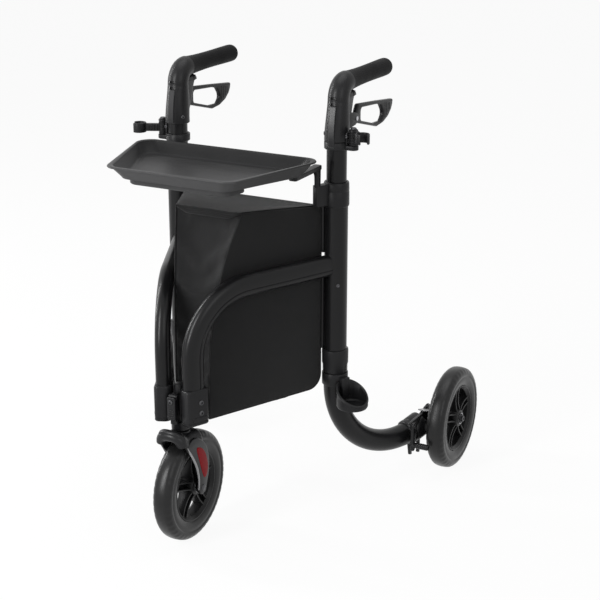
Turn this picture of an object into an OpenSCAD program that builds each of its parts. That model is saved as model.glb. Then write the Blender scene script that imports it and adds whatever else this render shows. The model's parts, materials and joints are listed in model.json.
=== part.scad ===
// Three wheel rollator with two folding side frames, a swivel front wheel, a bag and a lift-off tray.
// Millimetres, +Z up, the front wheel towards -Y and the user's left towards +X.

/* [Wheels] */
// Outside diameter of each wheel
wheel_d = 200; // [190:1:210]
// Width of each tyre
tyre_w = 36; // [32:1:38]
// Depth of the tyre from tread to rim
tyre_depth = 35; // [30:1:40]
// Thickness of the hub's rim
rim_t = 6; // [4:0.5:9]
// Diameter of the hub's middle boss
boss_d = 34; // [30:1:40]
// Spokes in each hub
spoke_count = 5; // [3:1:8]
// Width of each spoke
spoke_w = 13; // [8:1:16]
// Distance from the front axle to the rear axle
wheel_base = 492; // [480:1:505]
// Distance between the middles of the rear wheels
rear_track = 610; // [604:1:620]
// Diameter of the three axles
axle_d = 8; // [6:0.5:9]
// Outside diameter of the wheel bearings
bearing_d = 22; // [18:1:24]
// Width of the wheel bearings
bearing_w = 7; // [5:0.5:9]

/* [Caster] */
// How far the front axle trails behind the swivel stem
caster_trail = 23; // [20:1:26]
// Free space between the tyre and the fork
fork_gap = 4; // [3:0.5:6]
// Thickness of each fork leg
fork_leg_t = 7; // [5:0.5:9]
// Thickness of the fork's crown above the tyre
crown_t = 12; // [10:1:16]
// Diameter of the swivel stem
stem_d = 12; // [10:0.5:13]
// Gap between the crown and the head
swivel_gap = 3; // [2:0.5:5]

/* [Head] */
// Height of the head
head_h = 81; // [76:1:90]
// Radius of the boss round the swivel stem
head_boss_r = 10; // [9.5:0.1:10]
// Diameter of the two hinge pins
hinge_pin_d = 6; // [5:0.5:8]
// Radius of the hinge knuckles
knuckle_r = 7.5; // [7:0.1:7.6]
// Height of each clamp's knuckle
knuckle_h = 26; // [20:1:30]
// Thickness of the head's ears above and below each knuckle
ear_t = 14; // [10:1:16]

/* [Side frames] */
// Angle of each side frame from straight ahead
frame_angle = 25.4; // [25:0.1:26]
// Distance of each front tube from the middle at the head
foot_x = 30; // [30:0.5:32]
// How far the front tubes stand ahead of the swivel stem
foot_lead = 3; // [2:0.5:5]
// Width of the oval front tube
front_tube_w = 40; // [36:1:42]
// Thickness of the oval front tube
front_tube_t = 26; // [24:0.5:26]
// Wall of the tubes
tube_wall = 2; // [1.5:0.25:3]
// Bend radius of the front tube
front_bend_r = 113; // [100:1:120]
// Height of the front tube where it meets the column
bar_z = 463; // [455:1:475]
// Distance from the front tube's foot to the column along the frame
column_reach = 310; // [304:1:316]
// Outside diameter of the column and the rear tube
column_d = 42; // [41:0.5:44]
// Height of the column's lower end
column_low_z = 270; // [266:1:280]
// Height of the column's upper end
column_top_z = 600; // [590:1:606]
// Radius of the rail that holds the bag's edge
rail_r = 4; // [3.5:0.1:4.4]
// Bend radius of the rear tube
rear_bend_r = 152; // [145:1:156]
// Height of the rear tube's bend centre above the rear axle
rear_bend_rise = 132; // [128:1:136]
// Turn of the rear tube past its lowest point
rear_bend_past = 24; // [20:1:26]
// Wall of the clamp round the front tube's foot
clamp_wall = 2.5; // [2:0.25:4]
// Height of each column collar
collar_h = 44; // [40:1:48]
// Wall of the upper collar
upper_collar_wall = 2; // [1.5:0.25:2.5]
// Wall of the lower collar
lower_collar_wall = 3; // [2:0.25:4]
// Wall of the axle bracket's sleeve
sleeve_wall = 4; // [3:0.25:4.5]

/* [Handles] */
// Outside diameter of the handle tube
handle_tube_d = 36; // [34:0.5:36]
// Lower end of the handle at its lowest setting
handle_low_z = 675; // [670:1:690]
// Height of the grip's middle line
grip_z = 787; // [780:1:795]
// Grip diameter
grip_d = 32; // [30:0.5:33]
// How far the grip's tip lies behind the column
grip_back = 206; // [195:1:215]
// Diameter of the housing at its lower end
housing_d = 45; // [44:0.5:46]
// Height of the ring that carries the cane clip
mount_ring_h = 14; // [12:1:16]
// Thickness of the brake lever
lever_t = 9; // [8.5:0.5:14]
// Diameter of the brake lever's pin
lever_pin_d = 5; // [4:0.5:6]
// Swing of the left cane clip from straight out, towards the front
left_clip_swing = 45; // [-10:1:60]
// Swing of the right cane clip from straight out, towards the front
right_clip_swing = 25; // [-10:1:60]
// How far up its hub the bar of the left cane clip sits
left_clip_rise = 14; // [3:1:14]
// How far up its hub the bar of the right cane clip sits
right_clip_rise = 5; // [3:1:14]
// How far below the housing the ring of the right cane clip sits
right_mount_drop = 19; // [0:1:19]
// Inside diameter of the cane clip's jaw
jaw_d = 19; // [17:0.5:21]

/* [Brakes] */
// Free space between the tread and the brake shoe
shoe_gap = 2; // [1.5:0.25:3]
// Diameter of the shoe bar across the tread
shoe_d = 12; // [10:0.5:14]

/* [Tray and bag] */
// Height of the tray's rim
tray_rim_z = 676; // [664:1:682]
// Depth of the tray from rim to floor
tray_depth = 24; // [20:1:32]
// Wall of the tray
tray_wall = 3; // [2.5:0.25:4]
// Length of the tray from front to back
tray_length = 213; // [200:1:220]
// Width of the tray at its rear rim
tray_rear_w = 354; // [340:1:360]
// Width of the tray at its front rim
tray_front_w = 256; // [240:1:270]
// Free space from the tray's rear rim to the column's middle line
tray_behind = 87; // [82:1:95]
// Height of the bag's bottom
bag_low_z = 224; // [220:1:240]
// Height of the bag's top
bag_top_z = 585; // [575:1:590]
// Fall of the bag's top towards the rear, in degrees
bag_fall = 5.5; // [0:0.5:7]
// Inside diameter of the cane cup
cup_d = 52; // [48:1:58]
// Wall of the cane cup
cup_wall = 3; // [2:0.25:4]

/* [Hidden] */
$fn = 64;

// Clearances
run_clear = 0.05;
seat_clear = 0.3;
part_gap = 0.5;
cut = 1;

// Wheel places
wheel_r = wheel_d / 2;
axle_z = wheel_r;
front_axle_y = -wheel_base / 2;
rear_axle_y = wheel_base / 2;
rear_x = rear_track / 2;
rim_r = wheel_r - tyre_depth;
hub_half = tyre_w / 2 + 1;
fork_inner = tyre_w / 2 + fork_gap;
fork_outer = fork_inner + fork_leg_t;
axle_head_d = axle_d + 9;
axle_head_t = 5;

// Caster and head places
stem_y = front_axle_y - caster_trail;
crown_top = wheel_d + fork_gap + crown_t;
head_z = crown_top + swivel_gap;
head_top = head_z + head_h;
bush_wall = 1.5;
bush_h = 16;
foot_y = stem_y - foot_lead;
clamp_t = front_tube_t + 2 * clamp_wall;
clamp_w = front_tube_w + 2 * clamp_wall;
clamp_z = head_z + 15;
clamp_h = head_top - clamp_z;
pin_reach = clamp_t / 2 + knuckle_r + part_gap;
pin_along = 8;
knuckle_z = head_z + head_h / 2 - knuckle_h / 2;
hinge = frame_point(-pin_reach, pin_along);
latch_half = 5;
latch_pin_d = 4;
latch_t = 5.6;
latch_low = 42;
latch_pivot = [stem_y - 19, head_top - 16];
latch_face_y = latch_pivot[0] - latch_half;

// Frame places
column = frame_point(0, column_reach);
column_r = column_d / 2;
column_bore = handle_tube_d + 2 * part_gap;
rear_bend_z = axle_z + rear_bend_rise;
rail_reach = column_r + rail_r - 1.5;
rail_turn = 37;
upper_collar_z = column_top_z - 28;
lower_collar_z = column_low_z - 12;
upper_collar_d = column_d + 2 * upper_collar_wall;
lower_collar_d = column_d + 2 * lower_collar_wall;
tube_foot_z = clamp_z + 6;
screw_d = 5;
screw_along = 5;
screw_heights = [head_z + 38, head_z + 57];

// Rear brake places
sleeve_d = column_d + 2 * sleeve_wall;
sleeve_start = 10;
axle_boss_r = 17;
axle_boss_out = rear_x - hub_half - 5;
axle_boss_in = axle_boss_out - 32;
brake_pin_d = 5;
brake_turn = 14;
shoe_reach = wheel_r + shoe_gap + shoe_d / 2;
shoe_y = rear_axle_y - shoe_reach * cos(brake_turn);
shoe_z = axle_z - shoe_reach * sin(brake_turn);
brake_arm = 38;
brake_pivot = [shoe_y + 2, shoe_z + brake_arm];
brake_plate_t = 6;
brake_arm_x = rear_x - tyre_w / 2 - 23.6;

// Handle places
mount_top = handle_low_z + mount_ring_h;
elbow_r = 28;
elbow_d = grip_d + 6;
elbow_z = grip_z - elbow_r;
elbow_back = 5;
grip_start = elbow_back + elbow_r;
spigot_d = 22;
socket_top = mount_top + 16;
handle_tube_low = 430;
lever_pivot = [40, grip_z - 65];
lever_out = 10;
gusset_w = 26;
yoke_w = 18;
slot_w = 8.8;
clip_pin_d = 6;
clip_pin_out = 32;
clip_plate_h = 8;
clip_reach = 44;
clip_hub_h = 28;
jaw_wall = 3.5;

// Tray and bag places
tray_floor_z = tray_rim_z - tray_depth;
tray_rear_y = column[1] - tray_behind;
tray_front_y = tray_rear_y - tray_length;
tray_flare = 12;
tray_corner_r = 26;
bracket_z = upper_collar_z + 4;
bag_side = -front_tube_t / 2 - 3.5;
bag_rear = column_reach - rail_reach * cos(rail_turn) - rail_r + seat_clear;
bag_top_front = 118;
lid_t = 4;

// Lower end of the ring that carries a cane clip
function mount_z(s) = handle_low_z - (s < 0 ? right_mount_drop : 0);

// A point in plan, from how far out of a side frame's plane it lies and how far along the frame
function frame_point(out, along) = [
  foot_x + along * sin(frame_angle) + out * cos(frame_angle),
  foot_y + along * cos(frame_angle) - out * sin(frame_angle)];

// Left side as drawn, right side mirrored
module side(s) {
  if (s > 0) children();
  else mirror([1, 0, 0]) children();
}

// Side frame axes: X out of the frame's plane, Y along the frame
module in_frame(s) {
  side(s) translate([foot_x, foot_y, 0]) rotate(-frame_angle) children();
}

// Column axes: X outwards, Y backwards
module at_column(s) {
  side(s) translate([column[0], column[1], 0]) children();
}

// A shape turned to lie across the object, along X
module across() {
  rotate([0, 90, 0]) children();
}

// Side outline drawn as [y, z], spread along X
module spread(x0, x1) {
  translate([x0, 0, 0]) rotate([90, 0, 90]) linear_extrude(x1 - x0) children();
}

module ring(outer, inner, h) {
  difference() {
    cylinder(d = outer, h = h);
    translate([0, 0, -cut]) cylinder(d = inner, h = h + 2 * cut);
  }
}

module oval(w, t) {
  square([t, w - t], center = true);
  for (end = [-1, 1]) translate([0, end * (w - t) / 2]) circle(d = t);
}

// Tube bent in the frame's plane about a centre at [along, height]
module bent(centre, r, start, turn) {
  translate([0, centre[0], centre[1]]) rotate([0, 90, 0]) rotate(start)
    rotate_extrude(angle = turn) translate([r, 0]) rotate(90) children();
}

// Wheels, drawn about the X axis at the origin
module tyre_shape() {
  mid_r = wheel_r - tyre_w / 2;
  across() rotate_extrude($fn = 128) difference() {
    union() {
      translate([mid_r, 0]) circle(d = tyre_w);
      translate([rim_r, -tyre_w * 0.45]) square([mid_r - rim_r, tyre_w * 0.9]);
    }
    translate([0, -tyre_w]) square([rim_r, 2 * tyre_w]);
  }
}

module hub_shape() {
  rim_half = tyre_w * 0.4;
  difference() {
    across() union() {
      rotate_extrude($fn = 128) {
        translate([rim_r - rim_t, -rim_half]) square([rim_t, 2 * rim_half]);
        translate([0, -hub_half]) square([boss_d / 2, 2 * hub_half]);
      }
      for (i = [0 : spoke_count - 1]) rotate(i * 360 / spoke_count)
        translate([0, -spoke_w / 2, -rim_half * 0.7]) cube([rim_r - rim_t / 2, spoke_w, rim_half * 1.4]);
    }
    across() cylinder(d = axle_d + 4, h = 4 * hub_half, center = true);
    for (end = [0, 1]) mirror([end, 0, 0])
      translate([hub_half - bearing_w, 0, 0]) across() cylinder(d = bearing_d, h = bearing_w + cut);
  }
}

module bearings_shape() {
  for (end = [0, 1]) mirror([end, 0, 0]) translate([hub_half - bearing_w, 0, 0])
    across() ring(bearing_d, axle_d + 2 * run_clear, bearing_w);
}

module at_front_wheel() {
  translate([0, front_axle_y, axle_z]) children();
}

module at_rear_wheel(s) {
  side(s) translate([rear_x, rear_axle_y, axle_z]) children();
}

module front_tyre() { color("#2b2b2b") at_front_wheel() tyre_shape(); }
module front_hub() { color("#1c1c1d") at_front_wheel() hub_shape(); }
module front_bearings() { color("#9a9c9e") at_front_wheel() bearings_shape(); }
module rear_tyre(s) { color("#2b2b2b") at_rear_wheel(s) tyre_shape(); }
module rear_hub(s) { color("#1c1c1d") at_rear_wheel(s) hub_shape(); }
module rear_bearings(s) { color("#9a9c9e") at_rear_wheel(s) bearings_shape(); }

// Caster
module leg_outline() {
  top = crown_top - axle_z;
  polygon([[-62, top], [-60, top - 6], [-38, top - 30], [-18, top - 60], [-10, 14], [-12, 0], [12, 0],
    [19, 18], [23, 40], [21, 64], [9, 84], [-10, top - 12], [-18, top]]);
  circle(r = 12);
}

module insert_outline() {
  polygon([[-11, 55], [-3, 32], [4, 18], [12, 20], [17, 34], [14, 52], [6, 69], [-6, 80], [-19, 82]]);
}

module fork() {
  color("#202021") at_front_wheel() difference() {
    intersection() {
      spread(-fork_outer, fork_outer) leg_outline();
      crown_outline();
    }
    across() cylinder(r = wheel_r + fork_gap, h = 2 * fork_inner, center = true, $fn = 128);
    for (end = [0, 1]) mirror([end, 0, 0])
      spread(fork_inner - cut, fork_outer + cut) insert_outline();
    across() cylinder(d = axle_d, h = 4 * fork_outer, center = true);
    translate([0, -caster_trail, 0]) cylinder(d = stem_d, h = crown_top);
  }
}

// Front outline of the fork, with round shoulders
module crown_outline() {
  shoulder = 14;
  top = crown_top - axle_z;
  translate([0, wheel_r, 0]) rotate([90, 0, 0]) linear_extrude(2 * wheel_r) union() {
    translate([-fork_outer, -20]) square([2 * fork_outer, top - shoulder + 20]);
    translate([-fork_outer + shoulder, 0]) square([2 * (fork_outer - shoulder), top]);
    for (end = [-1, 1]) translate([end * (fork_outer - shoulder), top - shoulder]) circle(r = shoulder);
  }
}

module fork_inserts() {
  color("#8c1a1c") at_front_wheel() for (end = [0, 1]) mirror([end, 0, 0])
    spread(fork_inner, fork_outer + 1.5) insert_outline();
}

module caster_stem() {
  crown_low = axle_z + sqrt(pow(wheel_r + fork_gap, 2) - pow(caster_trail + stem_d / 2, 2)) + 2;
  color("#9a9c9e") translate([0, stem_y, 0]) {
    translate([0, 0, crown_low]) cylinder(d = stem_d, h = head_top - 6 - crown_low);
    translate([0, 0, crown_top]) cylinder(d = stem_d + 6, h = swivel_gap - seat_clear);
  }
}

module front_axle() {
  color("#9a9c9e") at_front_wheel() across() {
    translate([0, 0, -fork_outer - axle_head_t]) cylinder(d = axle_head_d, h = axle_head_t);
    translate([0, 0, -fork_outer]) cylinder(d = axle_d, h = 2 * fork_outer);
    translate([0, 0, fork_outer]) cylinder(d = axle_head_d, h = axle_head_t);
    for (end = [0, 1]) mirror([0, 0, end])
      translate([0, 0, hub_half + seat_clear]) cylinder(d = axle_d + 5, h = fork_inner - hub_half - seat_clear);
  }
}

// Head
module ear_outline() {
  hull() {
    for (s = [-1, 1]) translate([s * hinge[0], hinge[1]]) circle(r = knuckle_r, $fn = 32);
    translate([0, stem_y]) circle(r = head_boss_r, $fn = 32);
  }
}

module head_block() {
  color("#232324") difference() {
    union() {
      translate([0, stem_y, head_z]) cylinder(r = head_boss_r, h = head_h);
      translate([0, stem_y, head_z]) cylinder(r = 1.6 * head_boss_r, h = clamp_z - head_z - part_gap);
      for (z = [knuckle_z - part_gap - ear_t, knuckle_z + knuckle_h + part_gap])
        translate([0, 0, z]) linear_extrude(ear_t) ear_outline();
      spread(-latch_half, latch_half) {
        translate([latch_face_y, clamp_z]) square([stem_y - latch_face_y, latch_pivot[1] - clamp_z]);
        translate([latch_pivot[0], clamp_z])
          square([stem_y - latch_pivot[0], latch_pivot[1] - clamp_z + latch_half]);
        translate(latch_pivot) circle(r = latch_half);
      }
    }
    translate([0, stem_y, head_z - cut]) cylinder(d = stem_d + 2 * bush_wall, h = head_h + 2 * cut);
    for (s = [-1, 1]) translate([s * hinge[0], hinge[1], head_z]) cylinder(d = hinge_pin_d, h = head_h);
    translate([0, latch_pivot[0], latch_pivot[1]]) across()
      cylinder(d = latch_pin_d + 2 * run_clear, h = 4 * latch_half, center = true);
  }
}

module hinge_pins() {
  pin_low = knuckle_z - part_gap - ear_t;
  pin_h = knuckle_h + 2 * (part_gap + ear_t);
  color("#9a9c9e") for (s = [-1, 1]) translate([s * hinge[0], hinge[1], pin_low]) {
    cylinder(d = hinge_pin_d, h = pin_h);
    translate([0, 0, pin_h]) cylinder(d = hinge_pin_d + 5, h = 3);
  }
}

module stem_bushes() {
  color("#c9c7bd") for (z = [head_z, head_top - bush_h]) translate([0, stem_y, z])
    ring(stem_d + 2 * bush_wall, stem_d + 2 * run_clear, bush_h);
}

// Latch lever in front of the head, on its own pin
module fold_latch() {
  ear_in = latch_half + seat_clear;
  ear_out = latch_half + 3;
  front = latch_face_y - seat_clear;
  color("#2a2a2b") union() {
    spread(-ear_out, ear_out) translate([front - latch_t, latch_pivot[1] - latch_low])
      square([latch_t, latch_low + 2]);
    for (end = [0, 1]) mirror([end, 0, 0]) spread(ear_in, ear_out) {
      translate([front - latch_t, latch_pivot[1] - latch_half])
        square([latch_pivot[0] - front + latch_t, latch_half + 2]);
      translate(latch_pivot) circle(r = latch_half);
    }
    translate([0, latch_pivot[0], latch_pivot[1]]) across()
      cylinder(d = latch_pin_d, h = 2 * ear_out, center = true);
  }
}

// Side frames
module screw_holes(d) {
  for (z = screw_heights) translate([0, screw_along, z]) across() cylinder(d = d, h = clamp_t);
}

module clamp(s) {
  color("#262627") in_frame(s) difference() {
    union() {
      translate([0, 0, clamp_z]) linear_extrude(clamp_h) oval(clamp_w, clamp_t);
      translate([-pin_reach, pin_along, knuckle_z]) {
        cylinder(r = knuckle_r, h = knuckle_h);
        translate([0, -knuckle_r, 0]) cube([pin_reach - front_tube_t / 2 - cut, 2 * knuckle_r, knuckle_h]);
      }
    }
    translate([0, 0, tube_foot_z]) linear_extrude(clamp_h) oval(front_tube_w, front_tube_t);
    translate([-pin_reach, pin_along, knuckle_z - cut])
      cylinder(d = hinge_pin_d + 2 * run_clear, h = knuckle_h + 2 * cut);
    screw_holes(screw_d);
  }
}

module clamp_screws(s) {
  color("#8d8f91") in_frame(s) for (z = screw_heights) translate([front_tube_t / 2 - tube_wall, screw_along, z])
    across() {
      cylinder(d = screw_d, h = tube_wall + clamp_wall);
      translate([0, 0, tube_wall + clamp_wall]) cylinder(d = 2 * screw_d, h = 3);
    }
}

// Upright leg, bend and level bar of the front tube
module front_tube_path(w, t, over) {
  translate([0, 0, tube_foot_z - over]) linear_extrude(bar_z - front_bend_r - tube_foot_z + over) oval(w, t);
  bent([front_bend_r, bar_z - front_bend_r], front_bend_r, -180, 90) oval(w, t);
  translate([0, front_bend_r, bar_z]) rotate([-90, 0, 0]) linear_extrude(column_reach - front_bend_r) oval(w, t);
}

module front_tube(s) {
  color("#2d2d2f") in_frame(s) difference() {
    front_tube_path(front_tube_w, front_tube_t, 0);
    front_tube_path(front_tube_w - 2 * tube_wall, front_tube_t - 2 * tube_wall, cut);
    translate([0, column_reach, 0]) cylinder(d = column_d, h = 2 * bar_z);
    screw_holes(screw_d);
  }
}

module column_tube(s) {
  rail_gap = front_tube_w / 2 + 2;
  rails = [[lower_collar_z + collar_h, bar_z - rail_gap], [bar_z + rail_gap, upper_collar_z]];
  color("#2a2a2c") in_frame(s) translate([0, column_reach, 0]) difference() {
    union() {
      translate([0, 0, column_low_z]) cylinder(d = column_d, h = column_top_z - column_low_z);
      rotate(-rail_turn) for (span = rails) translate([0, -rail_reach, span[0] + part_gap])
        cylinder(r = rail_r, h = span[1] - span[0] - 2 * part_gap);
    }
    translate([0, 0, column_low_z - cut]) cylinder(d = column_bore, h = column_top_z);
  }
}

module upper_collar(s) {
  color("#222223") in_frame(s) translate([0, column_reach, upper_collar_z]) difference() {
    cylinder(d = upper_collar_d, h = collar_h);
    translate([0, 0, -cut]) cylinder(d = column_d, h = column_top_z - upper_collar_z + cut);
    cylinder(d = handle_tube_d + 2 * run_clear, h = collar_h + cut);
  }
}

module lower_collar(s) {
  color("#222223") in_frame(s) translate([0, column_reach, lower_collar_z])
    ring(lower_collar_d, column_d, collar_h);
}

module rear_tube_path(d, over) {
  translate([0, column_reach, rear_bend_z]) cylinder(d = d, h = column_low_z - rear_bend_z + over);
  bent([column_reach + rear_bend_r, rear_bend_z], rear_bend_r, -90, 90 + rear_bend_past) circle(d = d);
}

module rear_tube(s) {
  color("#2d2d2f") in_frame(s) difference() {
    rear_tube_path(column_d, 0);
    rear_tube_path(column_d - 2 * tube_wall, cut);
  }
}

// Sleeve on the rear tube's end, the axle's boss and the brake's pivot
module axle_bracket(s) {
  bend = [column_reach + rear_bend_r, rear_bend_z];
  color("#1f1f20") {
    difference() {
      union() {
        in_frame(s) bent(bend, rear_bend_r, sleeve_start, rear_bend_past + 2 - sleeve_start) circle(d = sleeve_d);
        axle_boss(s);
        side(s) spread(axle_boss_in, axle_boss_out) axle_web();
        side(s) spread(brake_arm_x - seat_clear - brake_plate_t, brake_arm_x - seat_clear) brake_plate();
      }
      in_frame(s) rear_tube_path(column_d, 0);
      side(s) translate([0, rear_axle_y, axle_z]) across() cylinder(d = axle_d, h = rear_track);
    }
    side(s) translate([brake_arm_x - seat_clear, brake_pivot[0], brake_pivot[1]]) across() {
      cylinder(d = brake_pin_d, h = brake_plate_t + 2 * seat_clear);
      translate([0, 0, brake_plate_t + 2 * seat_clear]) cylinder(d = 2 * brake_pin_d, h = 2);
    }
  }
}

// Web from the end of the rear tube to the axle's boss
module axle_web() {
  end_y = frame_point(0, column_reach + rear_bend_r * (1 + sin(rear_bend_past)))[1];
  end_z = rear_bend_z - rear_bend_r * cos(rear_bend_past);
  web_half = axle_boss_r - 2;
  polygon([[end_y, end_z - web_half], [end_y, end_z + web_half],
    [rear_axle_y, axle_z + web_half], [rear_axle_y, axle_z - web_half]]);
}

module axle_boss(s) {
  side(s) translate([axle_boss_in, rear_axle_y, axle_z]) across()
    cylinder(r = axle_boss_r, h = axle_boss_out - axle_boss_in, $fn = 48);
}

module brake_plate() {
  reach = 75;
  translate(brake_pivot) {
    circle(r = 8);
    translate([0, -8]) square([reach, 16]);
  }
}

module rear_axle(s) {
  outer = rear_x + hub_half + seat_clear;
  color("#9a9c9e") side(s) translate([0, rear_axle_y, axle_z]) across() {
    translate([0, 0, axle_boss_in - axle_head_t]) cylinder(d = axle_head_d, h = axle_head_t);
    translate([0, 0, axle_boss_in]) cylinder(d = axle_d, h = outer - axle_boss_in);
    translate([0, 0, axle_boss_out]) cylinder(d = axle_d + 5, h = rear_x - hub_half - seat_clear - axle_boss_out);
    translate([0, 0, outer]) cylinder(d = axle_head_d, h = axle_head_t);
  }
}

module brake_shoe(s) {
  arm_t = brake_plate_t;
  tail = 12;
  color("#262627") side(s) difference() {
    union() {
      spread(brake_arm_x, brake_arm_x + arm_t) {
        translate(brake_pivot) circle(r = 8);
        translate([shoe_y - 5, shoe_z - tail]) square([10, brake_pivot[1] - shoe_z + tail]);
      }
      translate([brake_arm_x, shoe_y, shoe_z]) across()
        cylinder(d = shoe_d, h = rear_x + tyre_w / 2 - brake_arm_x);
    }
    translate([0, brake_pivot[0], brake_pivot[1]]) across()
      cylinder(d = brake_pin_d + 2 * run_clear, h = rear_track);
  }
}

// Arm from the upper collar to the tray's underside, reaching in under the tray's floor
module tray_bracket(s) {
  arm_w = 16;
  arm_t = 10;
  under = 48;
  inset = 10;
  lap = 28;
  block_rear = 8;
  block_h = collar_h - 6;
  post_l = 14;
  arm_rear = 34;
  top = tray_floor_z - seat_clear;
  arm_out = column[0] - inset;
  arm_in = min(arm_out - arm_w, tray_rear_w / 2 - tray_flare - lap);
  color("#222223") difference() {
    union() {
      in_frame(s) translate([-inset, column_reach - under, bracket_z]) {
        cube([arm_w, under - block_rear, block_h]);
        cube([arm_w, post_l, top - bracket_z]);
      }
      side(s) translate([arm_in, tray_rear_y - under, top - arm_t])
        cube([arm_out - arm_in, tray_behind + under - arm_rear, arm_t]);
    }
    in_frame(s) translate([0, column_reach, 0]) cylinder(d = upper_collar_d, h = grip_z);
  }
}

// Cup for a cane's tip, clipped round the rear tube below the lower collar, its rim falling outwards
module cane_cup() {
  out = column_r + cup_wall + cup_d / 2 + cut;
  low = rear_bend_z - 32;
  rim = 35;
  clip_h = lower_collar_z - rear_bend_z - 2 * cut;
  color("#1e1e1f") in_frame(1) translate([0, column_reach, 0]) difference() {
    union() {
      translate([0, 0, rear_bend_z + cut]) cylinder(d = column_d + 2 * cup_wall, h = clip_h);
      intersection() {
        translate([out, 0, low]) cylinder(d = cup_d + 2 * cup_wall, h = 2 * cup_d);
        cup_below(out, rim);
      }
    }
    translate([out, 0, low + cup_wall]) cylinder(d = cup_d, h = 3 * cup_d);
    translate([0, 0, low]) cylinder(d = column_d, h = column_low_z);
  }
}

module cup_below(out, rim) {
  translate([out, 0, rear_bend_z - 4]) rotate([0, rim, 0]) translate([-100, -100, -200]) cube([200, 200, 200]);
}

// Handles
module handle_tube(s) {
  groove_w = 7;
  groove_depth = 2;
  color("#2b2b2d") at_column(s) difference() {
    translate([0, 0, handle_tube_low]) ring(handle_tube_d, handle_tube_d - 3 * tube_wall, socket_top - handle_tube_low);
    translate([-groove_w / 2, -handle_tube_d / 2 - cut, handle_tube_low + 20])
      cube([groove_w, groove_depth + cut, handle_low_z - 20 - handle_tube_low - 20]);
  }
}

module housing(s) {
  color("#2f2f31") at_column(s) difference() {
    union() {
      hull() {
        translate([0, 0, mount_top]) cylinder(d = housing_d, h = 2, $fn = 48);
        translate([0, elbow_back, elbow_z - 1]) cylinder(d = elbow_d, h = 1, $fn = 48);
      }
      bent([grip_start, elbow_z], elbow_r, -180, 90) circle(d = elbow_d);
      translate([0, grip_start, grip_z]) rotate([-90, 0, 0]) cylinder(d = spigot_d, h = grip_back - grip_start - 30);
      spread(lever_out - yoke_w / 2, lever_out + yoke_w / 2) {
        translate([elbow_back, lever_pivot[1] - 12]) square([lever_pivot[0] - elbow_back, 21]);
        translate(lever_pivot) circle(r = 9);
      }
      spread(-gusset_w / 2, gusset_w / 2) gusset_outline();
    }
    translate([0, 0, mount_top - cut]) cylinder(d = handle_tube_d, h = socket_top - mount_top + cut);
    at_lever() {
      translate([-slot_w / 2, -10, -20]) cube([slot_w, 40, 40]);
      across() cylinder(d = lever_pin_d, h = 2 * yoke_w, center = true);
    }
  }
}

// Brake lever's pivot, outside the middle of the handle
module at_lever() {
  translate([lever_out, lever_pivot[0], lever_pivot[1]]) children();
}

// Web that fills the corner between the housing and the grip
module gusset_outline() {
  top = grip_z - grip_d / 2 - seat_clear;
  polygon([[elbow_back, mount_top + 12], [24, mount_top + 12], [36, lever_pivot[1] + 4], [44, top - 17],
    [52, top], [elbow_back, top]]);
}

module grip(s) {
  edge = 8;
  length = grip_back - grip_start;
  color("#262627") at_column(s) translate([0, grip_start, grip_z]) rotate([-90, 0, 0]) difference() {
    union() {
      cylinder(d = grip_d, h = length - edge);
      cylinder(d = grip_d - 2 * edge, h = length);
      translate([0, 0, length - edge]) rotate_extrude() translate([grip_d / 2 - edge, 0]) circle(r = edge);
    }
    translate([0, 0, -cut]) cylinder(d = spigot_d, h = length - 30 + cut);
  }
}

module lever_pin(s) {
  color("#9a9c9e") at_column(s) at_lever() across() {
    cylinder(d = lever_pin_d, h = yoke_w, center = true);
    for (end = [0, 1]) mirror([0, 0, end]) translate([0, 0, yoke_w / 2]) cylinder(d = lever_pin_d + 3, h = 1.5);
  }
}

// Loop lever with a broad end for the fingers
module brake_lever(s) {
  loop = [[10, 10], [17, 23], [98, 14], [168, 5.5], [166, -4], [161, -13], [147, -24], [125, -32], [98, -34.5],
    [22, -14], [10, -8]];
  hole = [[28, 14], [100, 7], [116, 3], [125, -9], [127, -17], [116, -27.5], [86, -26], [28, -10]];
  tongue_w = slot_w - 0.8;
  color("#1d1d1e") at_column(s) at_lever() difference() {
    union() {
      spread(-lever_t / 2, lever_t / 2) difference() {
        polygon(loop);
        polygon(hole);
      }
      spread(-tongue_w / 2, tongue_w / 2) {
        circle(r = 8);
        translate([0, -8]) square([14, 16]);
      }
    }
    across() cylinder(d = lever_pin_d + 2 * run_clear, h = 2 * yoke_w, center = true);
  }
}

module clip_mount(s) {
  pin_h = clip_hub_h + 2 * seat_clear;
  color("#232324") at_column(s) translate([0, 0, mount_z(s)]) {
    difference() {
      union() {
        cylinder(d = housing_d, h = mount_ring_h);
        translate([clip_pin_out, 0, 0]) cylinder(r = 9, h = clip_plate_h);
        translate([0, -9, 0]) cube([clip_pin_out, 18, clip_plate_h]);
      }
      translate([0, 0, -cut]) cylinder(d = handle_tube_d, h = mount_ring_h + 2 * cut);
    }
    translate([clip_pin_out, 0, clip_plate_h]) {
      cylinder(d = clip_pin_d, h = pin_h);
      translate([0, 0, pin_h]) cylinder(d = clip_pin_d + 5, h = 3);
    }
  }
}

module cane_clip(s, swing, rise) {
  jaw_h = 18;
  bar_t = 9;
  bar_h = 14;
  jaw_low = rise - (jaw_h - bar_h) / 2;
  mouth = jaw_d * 0.6;
  color("#1d1d1e") at_column(s) translate([clip_pin_out, 0, mount_z(s) + clip_plate_h + seat_clear])
    rotate(-swing) difference() {
      union() {
        cylinder(r = 8, h = clip_hub_h);
        translate([0, -bar_t / 2, rise]) cube([clip_reach - jaw_d / 2, bar_t, bar_h]);
        translate([clip_reach, 0, jaw_low]) cylinder(d = jaw_d + 2 * jaw_wall, h = jaw_h);
      }
      translate([0, 0, -cut]) cylinder(d = clip_pin_d + 2 * run_clear, h = clip_hub_h + 2 * cut);
      translate([clip_reach, 0, jaw_low - cut]) {
        cylinder(d = jaw_d, h = jaw_h + 2 * cut);
        translate([0, -mouth / 2, 0]) cube([jaw_d, mouth, jaw_h + 2 * cut]);
      }
    }
}

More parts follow.
